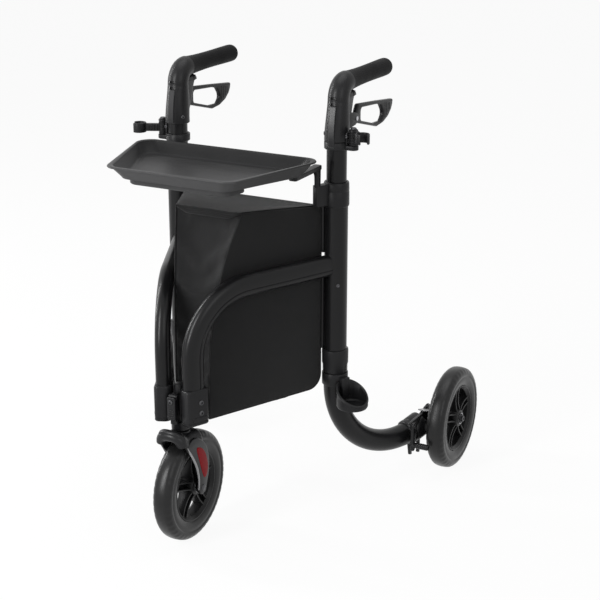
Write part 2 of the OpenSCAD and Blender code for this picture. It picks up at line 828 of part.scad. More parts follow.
// Bag between the frames, and its lid
module bag_level(front, z, t) {
  right_front = frame_point(bag_side, front);
  right_rear = frame_point(bag_side, bag_rear);
  translate([0, 0, z]) linear_extrude(t)
    polygon([right_front, right_rear, [-right_rear[0], right_rear[1]], [-right_front[0], right_front[1]]]);
}

module bag() {
  fronts = [[42, bag_low_z], [64, bar_z - 10], [bag_top_front, bag_top_z - 1]];
  color("#1f1f20") difference() {
    hull() for (f = fronts) bag_level(f[0], f[1], 1);
    bag_slope() translate([-rear_track / 2, -column_reach, 0]) cube([rear_track, 2 * column_reach, column_reach]);
  }
}

// Turns what stands on the bag's front edge to the fall of its top
module bag_slope() {
  translate([0, frame_point(bag_side, bag_top_front)[1], bag_top_z]) rotate([-bag_fall, 0, 0]) children();
}

module bag_lid() {
  lap = 6;
  color("#232324") bag_slope() translate([0, -frame_point(bag_side, bag_top_front)[1], seat_clear])
    bag_level(bag_top_front - lap, 0, lid_t);
}

// Tray with a flared rim, a shallow step and a round boss below
module tray_outline(inset) {
  r = tray_corner_r;
  hull() for (s = [-1, 1]) {
    translate([s * (tray_rear_w / 2 - inset - r), tray_rear_y - inset - r]) circle(r, $fn = 32);
    translate([s * (tray_front_w / 2 - inset - r), tray_front_y + inset + r]) circle(r, $fn = 32);
  }
}

module tray_slice(inset, z) {
  translate([0, 0, z]) linear_extrude(0.01) tray_outline(inset);
}

module tray() {
  lip = 5;
  step_h = 11;
  step_rear_y = tray_front_y + 78;
  boss_y = tray_rear_y - 97;
  color("#2c2c2e") {
    difference() {
      union() {
        hull() {
          tray_slice(tray_flare + lip, tray_floor_z);
          tray_slice(lip, tray_rim_z - 0.01);
        }
        translate([0, 0, tray_rim_z - tray_wall]) linear_extrude(tray_wall) tray_outline(0);
      }
      hull() {
        tray_slice(tray_flare + lip + tray_wall, tray_floor_z + tray_wall);
        tray_slice(lip + tray_wall, tray_rim_z + 0.02);
      }
    }
    translate([0, 0, tray_floor_z - step_h]) linear_extrude(step_h) intersection() {
      tray_outline(tray_flare + lip + 14);
      translate([-tray_rear_w / 2, tray_front_y]) square([tray_rear_w, step_rear_y - tray_front_y]);
    }
    translate([0, boss_y, tray_floor_z - 22]) cylinder(r = 20, h = 22);
  }
}

head_block();
hinge_pins();
stem_bushes();
fold_latch();
bag();
bag_lid();
fork();
caster_stem();
fork_inserts();
front_axle();
front_hub();
front_tyre();
front_bearings();
clamp(1);  // left_clamp
clamp_screws(1);  // left_clamp_screws
front_tube(1);  // left_front_tube
column_tube(1);  // left_column
upper_collar(1);  // left_upper_collar
lower_collar(1);  // left_lower_collar
rear_tube(1);  // left_rear_tube
axle_bracket(1);  // left_axle_bracket
rear_axle(1);  // left_rear_axle
tray_bracket(1);  // left_tray_bracket
cane_cup();
rear_hub(1);  // left_rear_hub
rear_tyre(1);  // left_rear_tyre
rear_bearings(1);  // left_rear_bearings
brake_shoe(1);  // left_brake_shoe
handle_tube(1);  // left_handle_tube
housing(1);  // left_housing
grip(1);  // left_grip
clip_mount(1);  // left_clip_mount
lever_pin(1);  // left_lever_pin
brake_lever(1);  // left_brake_lever
cane_clip(1, left_clip_swing, left_clip_rise);  // left_cane_clip
clamp(-1);  // right_clamp
clamp_screws(-1);  // right_clamp_screws
front_tube(-1);  // right_front_tube
column_tube(-1);  // right_column
upper_collar(-1);  // right_upper_collar
lower_collar(-1);  // right_lower_collar
rear_tube(-1);  // right_rear_tube
axle_bracket(-1);  // right_axle_bracket
rear_axle(-1);  // right_rear_axle
tray_bracket(-1);  // right_tray_bracket
rear_hub(-1);  // right_rear_hub
rear_tyre(-1);  // right_rear_tyre
rear_bearings(-1);  // right_rear_bearings
brake_shoe(-1);  // right_brake_shoe
handle_tube(-1);  // right_handle_tube
housing(-1);  // right_housing
grip(-1);  // right_grip
clip_mount(-1);  // right_clip_mount
lever_pin(-1);  // right_lever_pin
brake_lever(-1);  // right_brake_lever
cane_clip(-1, right_clip_swing, right_clip_rise);  // right_cane_clip
tray();
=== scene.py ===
"""Finished look of a folding three wheel rollator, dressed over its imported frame.

Metres in the frame's axes: +Z up, the front wheel towards -Y and the user's left towards +X.
Pieces are drawn in millimetres on axes of their own and then seated on the frame.
"""
import json
from math import atan2, copysign, cos, pi, radians, sin, sqrt, tan

import bmesh
import bpy
from mathutils import Matrix, Vector

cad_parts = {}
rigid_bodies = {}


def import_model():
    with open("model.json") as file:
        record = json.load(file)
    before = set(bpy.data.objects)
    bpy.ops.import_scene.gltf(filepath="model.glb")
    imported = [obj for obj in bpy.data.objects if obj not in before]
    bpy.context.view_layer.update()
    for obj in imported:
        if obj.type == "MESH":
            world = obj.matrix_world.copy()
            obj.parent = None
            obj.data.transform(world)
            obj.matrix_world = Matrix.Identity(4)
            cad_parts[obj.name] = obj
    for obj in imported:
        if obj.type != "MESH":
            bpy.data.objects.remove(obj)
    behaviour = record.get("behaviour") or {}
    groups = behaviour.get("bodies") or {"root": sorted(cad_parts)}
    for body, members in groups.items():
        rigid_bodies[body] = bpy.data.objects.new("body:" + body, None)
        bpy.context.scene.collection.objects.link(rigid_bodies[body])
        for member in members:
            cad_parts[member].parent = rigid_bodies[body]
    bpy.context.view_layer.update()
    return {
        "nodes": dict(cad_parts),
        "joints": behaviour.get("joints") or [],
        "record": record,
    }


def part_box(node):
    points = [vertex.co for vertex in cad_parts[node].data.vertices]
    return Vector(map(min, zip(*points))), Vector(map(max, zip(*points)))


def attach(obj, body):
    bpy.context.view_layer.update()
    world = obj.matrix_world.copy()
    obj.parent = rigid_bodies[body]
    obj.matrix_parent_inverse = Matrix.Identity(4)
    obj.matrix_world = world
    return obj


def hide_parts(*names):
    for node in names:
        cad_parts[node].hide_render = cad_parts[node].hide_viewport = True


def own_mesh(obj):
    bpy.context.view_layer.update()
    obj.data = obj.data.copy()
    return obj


for leftover in list(bpy.data.objects):
    bpy.data.objects.remove(leftover)
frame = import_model()
nodes = frame["nodes"]
joints = {joint["name"]: joint for joint in frame["joints"]}
scene = bpy.context.scene

MM = 0.001


# Places on the frame, in millimetres

def middle(node):
    low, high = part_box(node)
    return (low + high) / 2 / MM


def joint_place(name):
    return Vector(joints[name]["pos_m"]) / MM


REACH = 310  # from the front tube's foot to the column, along a side frame
HINGE_OUT, HINGE_ALONG = -23.5, 8  # the fold hinge, seen from the foot
column = middle("left_upper_collar")
hinge = joint_place("left_fold")
FRAME_TURN = (atan2(column.x - hinge.x, column.y - hinge.y)
              - atan2(-HINGE_OUT, REACH - HINGE_ALONG))
foot = Vector((column.x, column.y, 0)) - REACH * Vector((sin(FRAME_TURN), cos(FRAME_TURN), 0))
front_axle = joint_place("front_wheel_spin")
rear_axle = joint_place("left_wheel_spin")
stem = joint_place("caster_swivel")


def seat(origin, side=1, turn=0.0):
    """Matrix from a piece's own millimetres to the frame; side -1 mirrors it to the user's right."""
    return (Matrix.Diagonal((side, 1, 1, 1)) @ Matrix.Scale(MM, 4) @ Matrix.Translation(origin)
            @ Matrix.Rotation(turn, 4, "Z"))


class Side:
    """The user's left or right: what its pieces are called, and where they sit."""

    def __init__(self, name, sign):
        self.name = name
        self.whole, self.axle = seat(ORIGIN, sign), seat(rear_axle, sign)
        self.frame = seat(foot, sign, -FRAME_TURN)  # X out of the side frame's plane, Y back along it
        self.column = seat((column.x, column.y, 0), sign)
        self.clip = seat((column.x + CLIP_OUT, column.y, 0), sign, -radians(CLIP_SWING[name]))

    def add(self, tail, form, place, body, finish, node=None, **more):
        """Makes a piece whose name, body and replaced node all begin with the side's name."""
        replaces = [f"{self.name}_{node}"] if node else ()
        return piece(f"{self.name}_{tail}", form, place, f"{self.name}_{body}", finish, replaces, **more)


ORIGIN = (0, 0, 0)
CLIP_OUT = 32  # from the column to a cane clip's pivot
CLIP_SWING = {"left": 45, "right": 25}  # degrees to the front
LEFT, RIGHT = Side("left", 1), Side("right", -1)
FRAME_TO_WHOLE = LEFT.whole.inverted() @ LEFT.frame  # from a side frame's axes to the whole object's


# Forms: lists of points in millimetres and of faces

def skin(rings, round_ways=True, loop=False, caps=True):
    """Quads between rings of one count; caps close the first and the last ring."""
    count = len(rings[0])
    points = [tuple(point) for ring in rings for point in ring]
    faces = []
    for i in range(len(rings) if loop else len(rings) - 1):
        here, there = i * count, (i + 1) % len(rings) * count
        for j in range(count if round_ways else count - 1):
            k = (j + 1) % count
            faces.append((here + j, here + k, there + k, there + j))
    if caps and not loop:
        faces.append(tuple(reversed(range(count))))
        faces.append(tuple(range(len(points) - count, len(points))))
    return points, faces


def turned(profile, steps):
    """A closed profile of (x, radius) turned about the X axis."""
    turns = [2 * pi * step / steps for step in range(steps)]
    return skin([[(x, r * cos(turn), r * sin(turn)) for x, r in profile] for turn in turns], loop=True)


def plate(outlines, thick, edge):
    """Plate in X and Y, cut to its first outline with the others as holes, its edges rounded."""
    curve = bpy.data.curves.new("plate", "CURVE")
    curve.dimensions, curve.fill_mode = "2D", "BOTH"
    curve.extrude, curve.bevel_depth = thick / 2 - edge, edge
    curve.offset, curve.bevel_resolution = -edge, 2
    for outline in outlines:
        spline = curve.splines.new("POLY")
        spline.points.add(len(outline) - 1)
        spline.use_cyclic_u = True
        for point, (u, v) in zip(spline.points, outline):
            point.co = (u, v, 0, 1)
    cutter = bpy.data.objects.new("plate", curve)
    mesh = bpy.data.meshes.new_from_object(cutter)
    form = [vertex.co[:] for vertex in mesh.vertices], [face.vertices[:] for face in mesh.polygons]
    bpy.data.objects.remove(cutter)
    bpy.data.meshes.remove(mesh)
    bpy.data.curves.remove(curve)
    return form


def laid(form, order, shift=(0, 0, 0)):
    """The form with its axes taken in another order, then shifted."""
    points = [tuple(point[axis] + offset for axis, offset in zip(order, shift)) for point in form[0]]
    return points, form[1]


def side_on(form, x):
    """A plate stood up to face sideways, its outline in Y and Z."""
    return laid(form, (2, 0, 1), (x, 0, 0))


def face_on(form, y):
    """A plate stood up to face the front, its outline in X and Z."""
    return laid(form, (0, 2, 1), (0, y, 0))


def upright(form, shift=(0, 0, 0)):
    """A turned form stood on the Z axis."""
    return laid(form, (1, 2, 0), shift)


def moved(form, matrix):
    return [tuple(matrix @ Vector(point)) for point in form[0]], form[1]


def shifted(form, x=0, y=0, z=0):
    return moved(form, Matrix.Translation((x, y, z)))


def spun(form, degrees, axis):
    return moved(form, Matrix.Rotation(radians(degrees), 4, axis))


def together(*forms):
    points, faces = [], []
    for more_points, more_faces in forms:
        start = len(points)
        points += more_points
        faces += [tuple(start + index for index in face) for face in more_faces]
    return points, faces


def circle(r, centre=(0, 0), steps=32):
    turns = [2 * pi * i / steps for i in range(steps)]
    return [(centre[0] + r * cos(turn), centre[1] + r * sin(turn)) for turn in turns]


def filleted(corners, steps=5):
    """Outline through corners (u, v, radius), each rounded by an arc."""
    outline = []
    for i, (u, v, radius) in enumerate(corners):
        here = Vector((u, v))
        before = (Vector(corners[i - 1][:2]) - here).normalized()
        after = (Vector(corners[(i + 1) % len(corners)][:2]) - here).normalized()
        half = before.angle(after) / 2
        centre = here + (before + after).normalized() * radius / sin(half)
        start = here + before * radius / tan(half) - centre
        end = here + after * radius / tan(half) - centre
        for step in range(steps + 1):
            share = step / steps
            arm = (start * (1 - share) + end * share).normalized() * radius
            outline.append(tuple(centre + arm))
    return outline


def smooth_line(points, steps, closed=False):
    """Points of a smooth curve through the given ones."""
    line = []
    count = len(points)
    for i in range(count if closed else count - 1):
        near = [(i + k) % count if closed else min(max(i + k, 0), count - 1) for k in (-1, 0, 1, 2)]
        a, b, c, d = (Vector(points[index]) for index in near)
        for step in range(steps):
            t = step / steps
            line.append(tuple(0.5 * (2 * b + (c - a) * t + (2 * a - 5 * b + 4 * c - d) * t ** 2
                                     + (3 * b - a - 3 * c + d) * t ** 3)))
    if not closed:
        line.append(tuple(points[-1]))
    return line


def block(x, y, z, radius, edge):
    """A moulded block between two corners, rounded in plan by radius and along its edges."""
    corners = [(x[i], y[j], radius) for i, j in ((0, 0), (1, 0), (1, 1), (0, 1))]
    return shifted(plate([filleted(corners)], z[1] - z[0], edge), z=(z[0] + z[1]) / 2)


def side_plate(corners, thick, edge, x, *holes):
    """Plate that faces sideways, its outline given by filleted corners in Y and Z."""
    return side_on(plate([filleted(corners), *holes], thick, edge), x)


def both_ends(end):
    """Profile of (x, radius) made of one end and its mirror image."""
    return [(-x, r) for x, r in reversed(end)] + end


def hex_bolt(x, across, height, bore):
    """Hexagon head facing +X from x, with a dished middle."""
    corner = across / sqrt(3)
    levels = ((0, 1), (height * 0.75, 1), (height, 0.86), (height, bore), (height * 0.6, bore * 0.9))
    rings = [[(x + out, y, z) for y, z in circle(corner * share, steps=6)] for out, share in levels]
    return skin(rings)


def round_screw(x, r, height):
    """Low screw head facing +X from x, with a socket."""
    return turned([(x, 0), (x, r), (x + height * 0.6, r), (x + height, r * 0.8), (x + height, r * 0.5),
                   (x + height * 0.3, r * 0.46), (x + height * 0.3, 0)], 24)


def piece(name, form, place, body, finish, replaces=(), sharp=38):
    """Makes an object of the form at its place, riding on a body."""
    mesh = bpy.data.meshes.new(name)
    mesh.from_pydata([place @ Vector(point) for point in form[0]], [], form[1])
    edit = bmesh.new()
    edit.from_mesh(mesh)
    bmesh.ops.remove_doubles(edit, verts=edit.verts, dist=2e-6)
    bmesh.ops.recalc_face_normals(edit, faces=edit.faces)
    edit.to_mesh(mesh)
    edit.free()
    mesh.shade_smooth()
    mesh.set_sharp_from_angle(angle=radians(sharp))
    mesh.materials.append(FINISH[finish])
    made = bpy.data.objects.new(name, mesh)
    scene.collection.objects.link(made)
    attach(made, body)
    if replaces:
        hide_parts(*replaces)
    return made


def thickened(made, thick):
    """Gives a sheet its wall, inwards, and rounds it."""
    wall = made.modifiers.new("wall", "SOLIDIFY")
    wall.thickness, wall.offset = thick * MM, -1
    rounding = made.modifiers.new("rounding", "SUBSURF")
    rounding.levels = rounding.render_levels = 2


# Finishes

class Wire:
    """A shader socket on which arithmetic adds Math nodes."""

    def __init__(self, nodes, socket):
        self.nodes, self.socket = nodes, socket

    def math(self, operation, *values):
        return self.nodes.node("ShaderNodeMath", {"operation": operation}, dict(enumerate(values)))

    def __add__(self, other):
        return self.math("ADD", self, other)

    def __sub__(self, other):
        return self.math("SUBTRACT", self, other)

    def __rsub__(self, other):
        return self.math("SUBTRACT", other, self)

    def __mul__(self, other):
        return self.math("MULTIPLY", self, other)

    __radd__, __rmul__ = __add__, __mul__

    def sine(self):
        return self.math("SINE", self)

    def size(self):
        return self.math("ABSOLUTE", self)

    def at_most(self, limit):
        return self.math("MINIMUM", self, limit)


class Nodes:
    """A node tree, to which node() adds a node and gives the wire of one of its outputs."""

    def __init__(self, tree):
        self.tree = tree

    def feed(self, made, sockets):
        for key, value in sockets.items():
            if isinstance(value, Wire):
                self.tree.links.new(value.socket, made.inputs[key])
            else:
                made.inputs[key].default_value = value

    def node(self, kind, settings=None, sockets=None, out=0):
        made = self.tree.nodes.new(kind)
        for key, value in (settings or {}).items():
            if key == "stops":
                for element, stop in zip(made.color_ramp.elements, value):
                    element.position, element.color = stop[0], (stop[1], stop[1], stop[1], 1)
            else:
                setattr(made, key, value)
        self.feed(made, sockets or {})
        return Wire(self, made.outputs[out])

    def white_rays(self):
        """1 for the rays that meet a white background, and 0 for the rest."""
        rays = ("Is Camera Ray", "Is Glossy Ray", "Is Transmission Ray")
        return sum(self.node("ShaderNodeLightPath", out=ray) for ray in rays).at_most(1)


class Shader(Nodes):
    """A material round one Principled shader, whose even values are given by socket name."""

    def __init__(self, name, **even):
        self.material = bpy.data.materials.new(name)
        self.material.use_nodes = True
        super().__init__(self.material.node_tree)
        self.surface = next(n for n in self.tree.nodes if n.type == "BSDF_PRINCIPLED")
        self.feed(self.surface, {key.replace("_", " "): value for key, value in even.items()})
        self.place = self.node("ShaderNodeTexCoord", out="Object")

    def noise(self, size, detail, place=None):
        """Noise whose features are about this many millimetres across."""
        return self.node("ShaderNodeTexNoise", sockets={
            "Vector": place or self.place, "Scale": 1 / (size * MM), "Detail": detail})

    def stretched(self, x, y, z):
        return self.node("ShaderNodeMapping", sockets={"Vector": self.place, "Scale": (x, y, z)})

    def axis(self, index):
        return self.node("ShaderNodeSeparateXYZ", sockets={"Vector": self.place}, out=index)

    def spots(self, noise, low, high):
        """The noise as soft spots between two levels."""
        return self.node("ShaderNodeValToRGB", {"stops": ((low, 0), (high, 1))}, {"Fac": noise})

    def finished(self, colour, tone, dark, light, rough, relief, depth):
        """Feeds the shader a colour between two shades by the tone, a roughness and a relief."""
        shades = [(*(min(1, part * factor) for part in colour), 1) for factor in (dark, light)]
        self.feed(self.surface, {
            "Base Color": self.node("ShaderNodeMix", {"data_type": "RGBA"},
                                    {0: tone, 6: shades[0], 7: shades[1]}, out=2),
            "Roughness": rough,
            "Normal": self.node("ShaderNodeBump", sockets={"Height": relief, "Distance": depth * MM})})
        return self.material


def moulded(name, colour, rough, grain=0.7, depth=0.02, level=0.3, coat=0.0):
    """Moulded plastic: a fine spark grain, slow shifts of tone and gloss, faint handling marks."""
    look = Shader(name, Specular_IOR_Level=level, Coat_Weight=coat, Coat_Roughness=0.35)
    broad = look.noise(60, 3)
    fine = look.noise(grain, 2)
    marks = look.spots(look.noise(9, 4, look.stretched(1, 1, 0.25)), 0.6, 0.72)
    return look.finished(colour, broad + 0.25 * fine - 0.12, 0.72, 1.28,
                         broad * 0.14 + fine * 0.08 + (rough - 0.11) - marks * 0.05, fine, depth)


def tray_with_painted_light(name, colour, rear_y, front_y):
    """Textured tray plastic with random scuffs, its colour painted lighter towards the front edge and
    darker towards the rear: painted light and shade.
    """
    look = Shader(name, Specular_IOR_Level=0.08)
    broad = look.noise(60, 3)
    fine = look.noise(0.8, 2)
    scuffs = look.spots(look.noise(7, 4, look.stretched(0.2, 1, 1)), 0.56, 0.72)
    # painted light and shade: the colour runs from dark at the rear edge to light at the front edge
    painted_light_to_front = (rear_y * MM - look.axis(1)) * (1 / ((rear_y - front_y) * MM))
    wear_and_painted_light = painted_light_to_front + 0.25 * broad - 0.12 + 0.1 * fine + 0.06 * scuffs
    return look.finished(colour, wear_and_painted_light, 0.4, 1.62,
                         0.3 + broad * 0.1 + fine * 0.06 + scuffs * 0.05, fine, 0.03)


def powder_coat(name, colour, rough):
    """Satin powder coat on tube: orange peel, a fine sparkle of tone and a thin clear top."""
    look = Shader(name, Specular_IOR_Level=0.17, Coat_Weight=0.08, Coat_Roughness=0.2)
    peel = look.noise(2.2, 2)
    broad = look.noise(80, 3)
    speck = look.spots(look.noise(0.5, 1), 0.55, 0.75)
    return look.finished(colour, broad * 0.6 + speck * 0.4, 0.8, 1.35,
                         rough - 0.05 + 0.1 * broad + 0.06 * speck, peel, 0.05)


def rubber(name, colour, rough, grain=1.2, depth=0.05, dust=0.25, level=0.2, sheen=0.02):
    """Matte rubber: dull pores, and dust that lightens it in patches."""
    look = Shader(name, Specular_IOR_Level=level, Sheen_Weight=sheen, Sheen_Roughness=0.6)
    pores = look.noise(grain, 3)
    patches = look.spots(look.noise(28, 4), 0.42, 0.72)
    return look.finished(colour, patches * dust + pores * 0.25, 0.85, 1.7,
                         rough + 0.1 * patches + 0.06 * pores - 0.06, pores, depth)


def woven(name, colour, pitch=1.1, side_panel=False, level_panel=False):
    """Plain weave nylon: crossing threads, uneven yarn and a soft sheen."""
    look = Shader(name, Specular_IOR_Level=0.14, Sheen_Weight=0.22, Sheen_Roughness=0.45)
    x, y, z = (look.axis(index) for index in range(3))
    across = x
    if side_panel:
        across = x.size() * sin(FRAME_TURN) + y * cos(FRAME_TURN)
    thread = 2 * pi / (pitch * MM)
    weave = (across * thread).sine() * ((y if level_panel else z) * thread).sine()
    yarn = look.noise(5, 4, look.stretched(1, 1, 0.12))
    broad = look.noise(70, 3)
    tone = weave * 0.22 + yarn * 0.4 + broad * 0.4
    return look.finished(colour, tone, 0.7, 1.35,
                         0.78 + 0.1 * broad - 0.06 * weave, weave + yarn * 0.5, 0.14)


def metal(name, colour, rough):
    """Plated steel: fine drawn lines and a cloudy plating."""
    look = Shader(name, Metallic=1.0)
    lines = look.noise(6, 3, look.stretched(0.08, 1, 1))
    cloud = look.noise(14, 3)
    return look.finished(colour, cloud, 0.78, 1.12,
                         rough - 0.06 + 0.14 * lines + 0.06 * cloud, lines, 0.02)


TRAY_PAINTED_LIGHT_SPAN = -79, -292  # from the rear edge to the front edge, over which the tray's colour runs from painted shade to painted light
FINISH = {
    "frame_paint": powder_coat("frame_paint", (0.006, 0.006, 0.0065), 0.31),
    "cast_black": moulded("cast_black", (0.008, 0.008, 0.0088), 0.34, grain=0.9, level=0.2, coat=0.1),
    "plastic_black": moulded("plastic_black", (0.010, 0.010, 0.0108), 0.40, level=0.18),
    "housing_plastic": moulded("housing_plastic", (0.010, 0.010, 0.0107), 0.36, grain=0.6, level=0.2),
    "housing_strip": moulded("housing_strip", (0.014, 0.014, 0.015), 0.33, grain=0.6, depth=0.01),
    "lever_plastic": moulded("lever_plastic", (0.007, 0.007, 0.0077), 0.34, level=0.18),
    "tray_plastic": tray_with_painted_light("tray_plastic", (0.034, 0.034, 0.0347), *TRAY_PAINTED_LIGHT_SPAN),
    "grip_rubber": rubber("grip_rubber", (0.0075, 0.0075, 0.0079), 0.5, grain=0.8, depth=0.03, dust=0.1,
                          level=0.04, sheen=0.0),
    "tyre_grey": rubber("tyre_grey", (0.009, 0.009, 0.0093), 0.32, dust=0.2, level=0.24),
    "hub_black": moulded("hub_black", (0.006, 0.006, 0.0064), 0.36, level=0.2),
    # painted light and shade: the bag's one fabric in three tones, lightest on the body, whose front
    # faces the lamps, darker on the lid and darkest on the side panels
    "bag_fabric": woven("bag_fabric", (0.014, 0.014, 0.0145)),
    "red_insert": rubber("red_insert", (0.21, 0.004, 0.007), 0.42, grain=0.9, depth=0.03, dust=0.1,
                         level=0.06),
    "steel": metal("steel", (0.50, 0.50, 0.52), 0.30),
    "screw_black": metal("screw_black", (0.08, 0.08, 0.084), 0.36),
    "bush": moulded("bush", (0.70, 0.68, 0.60), 0.5, depth=0.01),
    "bag_fabric_painted_shade_side": woven("bag_fabric_painted_shade_side", (0.008, 0.008, 0.0084), side_panel=True),
    "bag_fabric_painted_shade_lid": woven("bag_fabric_painted_shade_lid", (0.010, 0.010, 0.0104), level_panel=True),
    # painted highlight: a light grey, glossy finish for the strips on the fork legs' front edges; the
    # rear axle carriers' cover plates take it too
    "painted_highlight_grey": moulded("painted_highlight_grey", (0.22, 0.22, 0.226), 0.24, level=0.6, coat=0.4),
}
for item in frame["record"]["subparts"]:
    kept = nodes[item["node"]].data.materials
    kept.clear()
    kept.append(FINISH[item["material_slot"]])


# Wheels, drawn about the axle

TYRE_EDGE = [(0, 100), (10.5, 98.6), (16.8, 92.4), (18, 86.2), (17, 83.2), (17.6, 76.5), (15.6, 68),
             (13.5, 65)]  # half of the section: across, and radius
TREAD_STEPS = 180
NOTCH_EVERY, NOTCH, NOTCH_FROM, NOTCH_ABOVE = 4, 0.9, 11, 90  # steps, depth, and where it starts
RIM = [(-14.4, 65), (14.4, 65), (14.6, 63), (11.5, 60.2), (9, 58), (-9, 58), (-11.5, 60.2), (-14.6, 63)]
BOSS_END = [(14.6, 17), (16, 16), (16.6, 13), (17.6, 12.4), (19, 10), (19, 5)]
SPOKES = 5
RIB_EDGE, RIB_T, RIB_ROUND, RIB_APART = [(14, 15), (24, 11), (42, 9.4), (60, 11.5)], 3.2, 0.7, 6.5
WEB, WEB_T, WEB_ROUND = [(14, -7.5, 1), (60, -6, 1), (60, 6, 1), (14, 7.5, 1)], 3, 0.6


def tyre():
    half = smooth_line(TYRE_EDGE, 3)
    profile = [(-x, r) for x, r in half[:0:-1]] + half
    rings = []
    for step in range(TREAD_STEPS):
        turn = 2 * pi * step / TREAD_STEPS
        notch = NOTCH if step % NOTCH_EVERY == 0 else 0
        ring = [(x, r - notch if abs(x) > NOTCH_FROM and r > NOTCH_ABOVE else r) for x, r in profile]
        rings.append([(x, r * cos(turn), r * sin(turn)) for x, r in ring])
    return skin(rings, loop=True)


def hub():
    """Rim, boss with a stepped cap, and spokes of two ribs and a web."""
    rib_edge = smooth_line(RIB_EDGE, 4)
    rib = plate([rib_edge + [(r, -x) for r, x in reversed(rib_edge)]], RIB_T, RIB_ROUND)
    web = plate([filleted(WEB)], WEB_T, WEB_ROUND)
    ribs = [laid(rib, (1, 2, 0), (0, out, 0)) for out in (RIB_APART, -RIB_APART)]
    spoke = together(*ribs, laid(web, (2, 1, 0)))
    spokes = [spun(spoke, 360 / SPOKES * i, "X") for i in range(SPOKES)]
    return together(turned(RIM, 96), turned(both_ends(BOSS_END), 48), *spokes)


def wheels():
    tread, spokes = tyre(), hub()
    for name, place, node in (("front", seat(front_axle), "front"), ("left", LEFT.axle, "left_rear"),
                              ("right", RIGHT.axle, "right_rear")):
        piece(name + "_tyre_tread", tread, place, name + "_wheel", "tyre_grey", [node + "_tyre"])
        piece(name + "_hub_spokes", spokes, place, name + "_wheel", "hub_black", [node + "_hub"])


# Caster, drawn about the front axle

HOOD = [  # low edge (y, z), top (y, z) and half width, from the front lip back
    ((-54, 99), (-67, 121), 22), ((-52, 95), (-66, 127.5), 26), ((-48, 89), (-60, 129.5), 28),
    ((-42, 81), (-52, 126), 29), ((-35, 73), (-44, 117), 29), ((-24, 62), (-32, 115.5), 29),
    ((-14, 54), (-18, 115.5), 29), ((-2, 62), (-6, 113.5), 29), ((8, 78), (5, 111), 28)]
HOOD_STEPS, HOOD_SQUARE, HOOD_WALL = 16, 0.55, 6.5
LIP = (-50, 95), (-57.5, 116.5), 21  # as a row of the hood
LIP_SQUARE, LIP_FADE, LIP_R, LIP_TAPER = 0.8, 0.08, 9.8, 0.35
LIP_LEAN = Vector((0, -0.6, 0.8))
CROWN = [(103, 0), (103, 15), (112, 17), (115.5, 16), (116.6, 13), (116.6, 0)]
LEG_OUTLINE = [(-47, 95), (-37, 80), (-25, 62), (-15, 41), (-10.5, 18), (-12.5, 0), (-8, -10),
               (0, -12.5), (9, -9), (14, 4), (20, 20), (23, 40), (20, 62), (8, 84), (-12, 100),
               (-30, 104)]
LEG_X, LEG_T, LEG_ROUND = 25.5, 7, 1.8
INSERT_OUTLINE = [(-19, 82), (-6, 80), (6, 69), (14, 52), (17, 34), (12, 20), (4, 18), (-3, 32),
                  (-11, 55)]
INSERT_OUT, INSERT_T, INSERT_ROUND = 2, 5, 1.5
AXLE_END = [(28.6, 4), (28.6, 6), (30, 5.6), (31, 3.4), (31, 0)]
HIGHLIGHT_CORNERS, HIGHLIGHT_OUT, HIGHLIGHT_T, HIGHLIGHT_W = 6, 1.9, 1.5, 3.4  # painted highlight: a light grey strip along the front of each leg, in place of the light that edge catches


def hood_arch(low, top, half, square):
    """Points over the tyre from one low edge to the other; the lower square, the boxier."""
    points = []
    for step in range(HOOD_STEPS + 1):
        turn = pi * step / HOOD_STEPS
        rise = sin(turn) ** square
        x = copysign(abs(cos(turn)) ** square, cos(turn)) * half
        points.append((x, low[0] + (top[0] - low[0]) * rise, low[1] + (top[1] - low[1]) * rise))
    return points


def hood_lip():
    """Round bead along the hood's front edge, tapered at both ends."""
    path = [Vector(point) for point in hood_arch(*LIP, LIP_SQUARE)]
    last = len(path) - 1
    rings = []
    for i, here in enumerate(path):
        along = (path[min(last, i + 1)] - path[max(0, i - 1)]).normalized()
        across = along.cross(LIP_LEAN).normalized()
        over = across.cross(along)
        size = LIP_R * (LIP_TAPER if i in (0, last) else 1)
        rings.append([here + u * across + v * over for u, v in circle(size, steps=12)])
    return skin(rings)


# Painted highlight: a light grey strip along a leg's front edge, standing in for the light that the edge
# catches.
def painted_highlight_strip(end):
    blade = smooth_line(LEG_OUTLINE[:HIGHLIGHT_CORNERS], 4)
    rings = []
    for i, (y, z) in enumerate(blade):
        width = HIGHLIGHT_W * sin(pi * (i + 0.6) / (len(blade) + 0.2)) ** 0.5
        rings.append([(end * (LEG_X + HIGHLIGHT_OUT + HIGHLIGHT_T * cos(t)), y - 0.3 + width * sin(t), z)
                      for t in (pi * k / 4 for k in range(8))])
    return skin(rings)


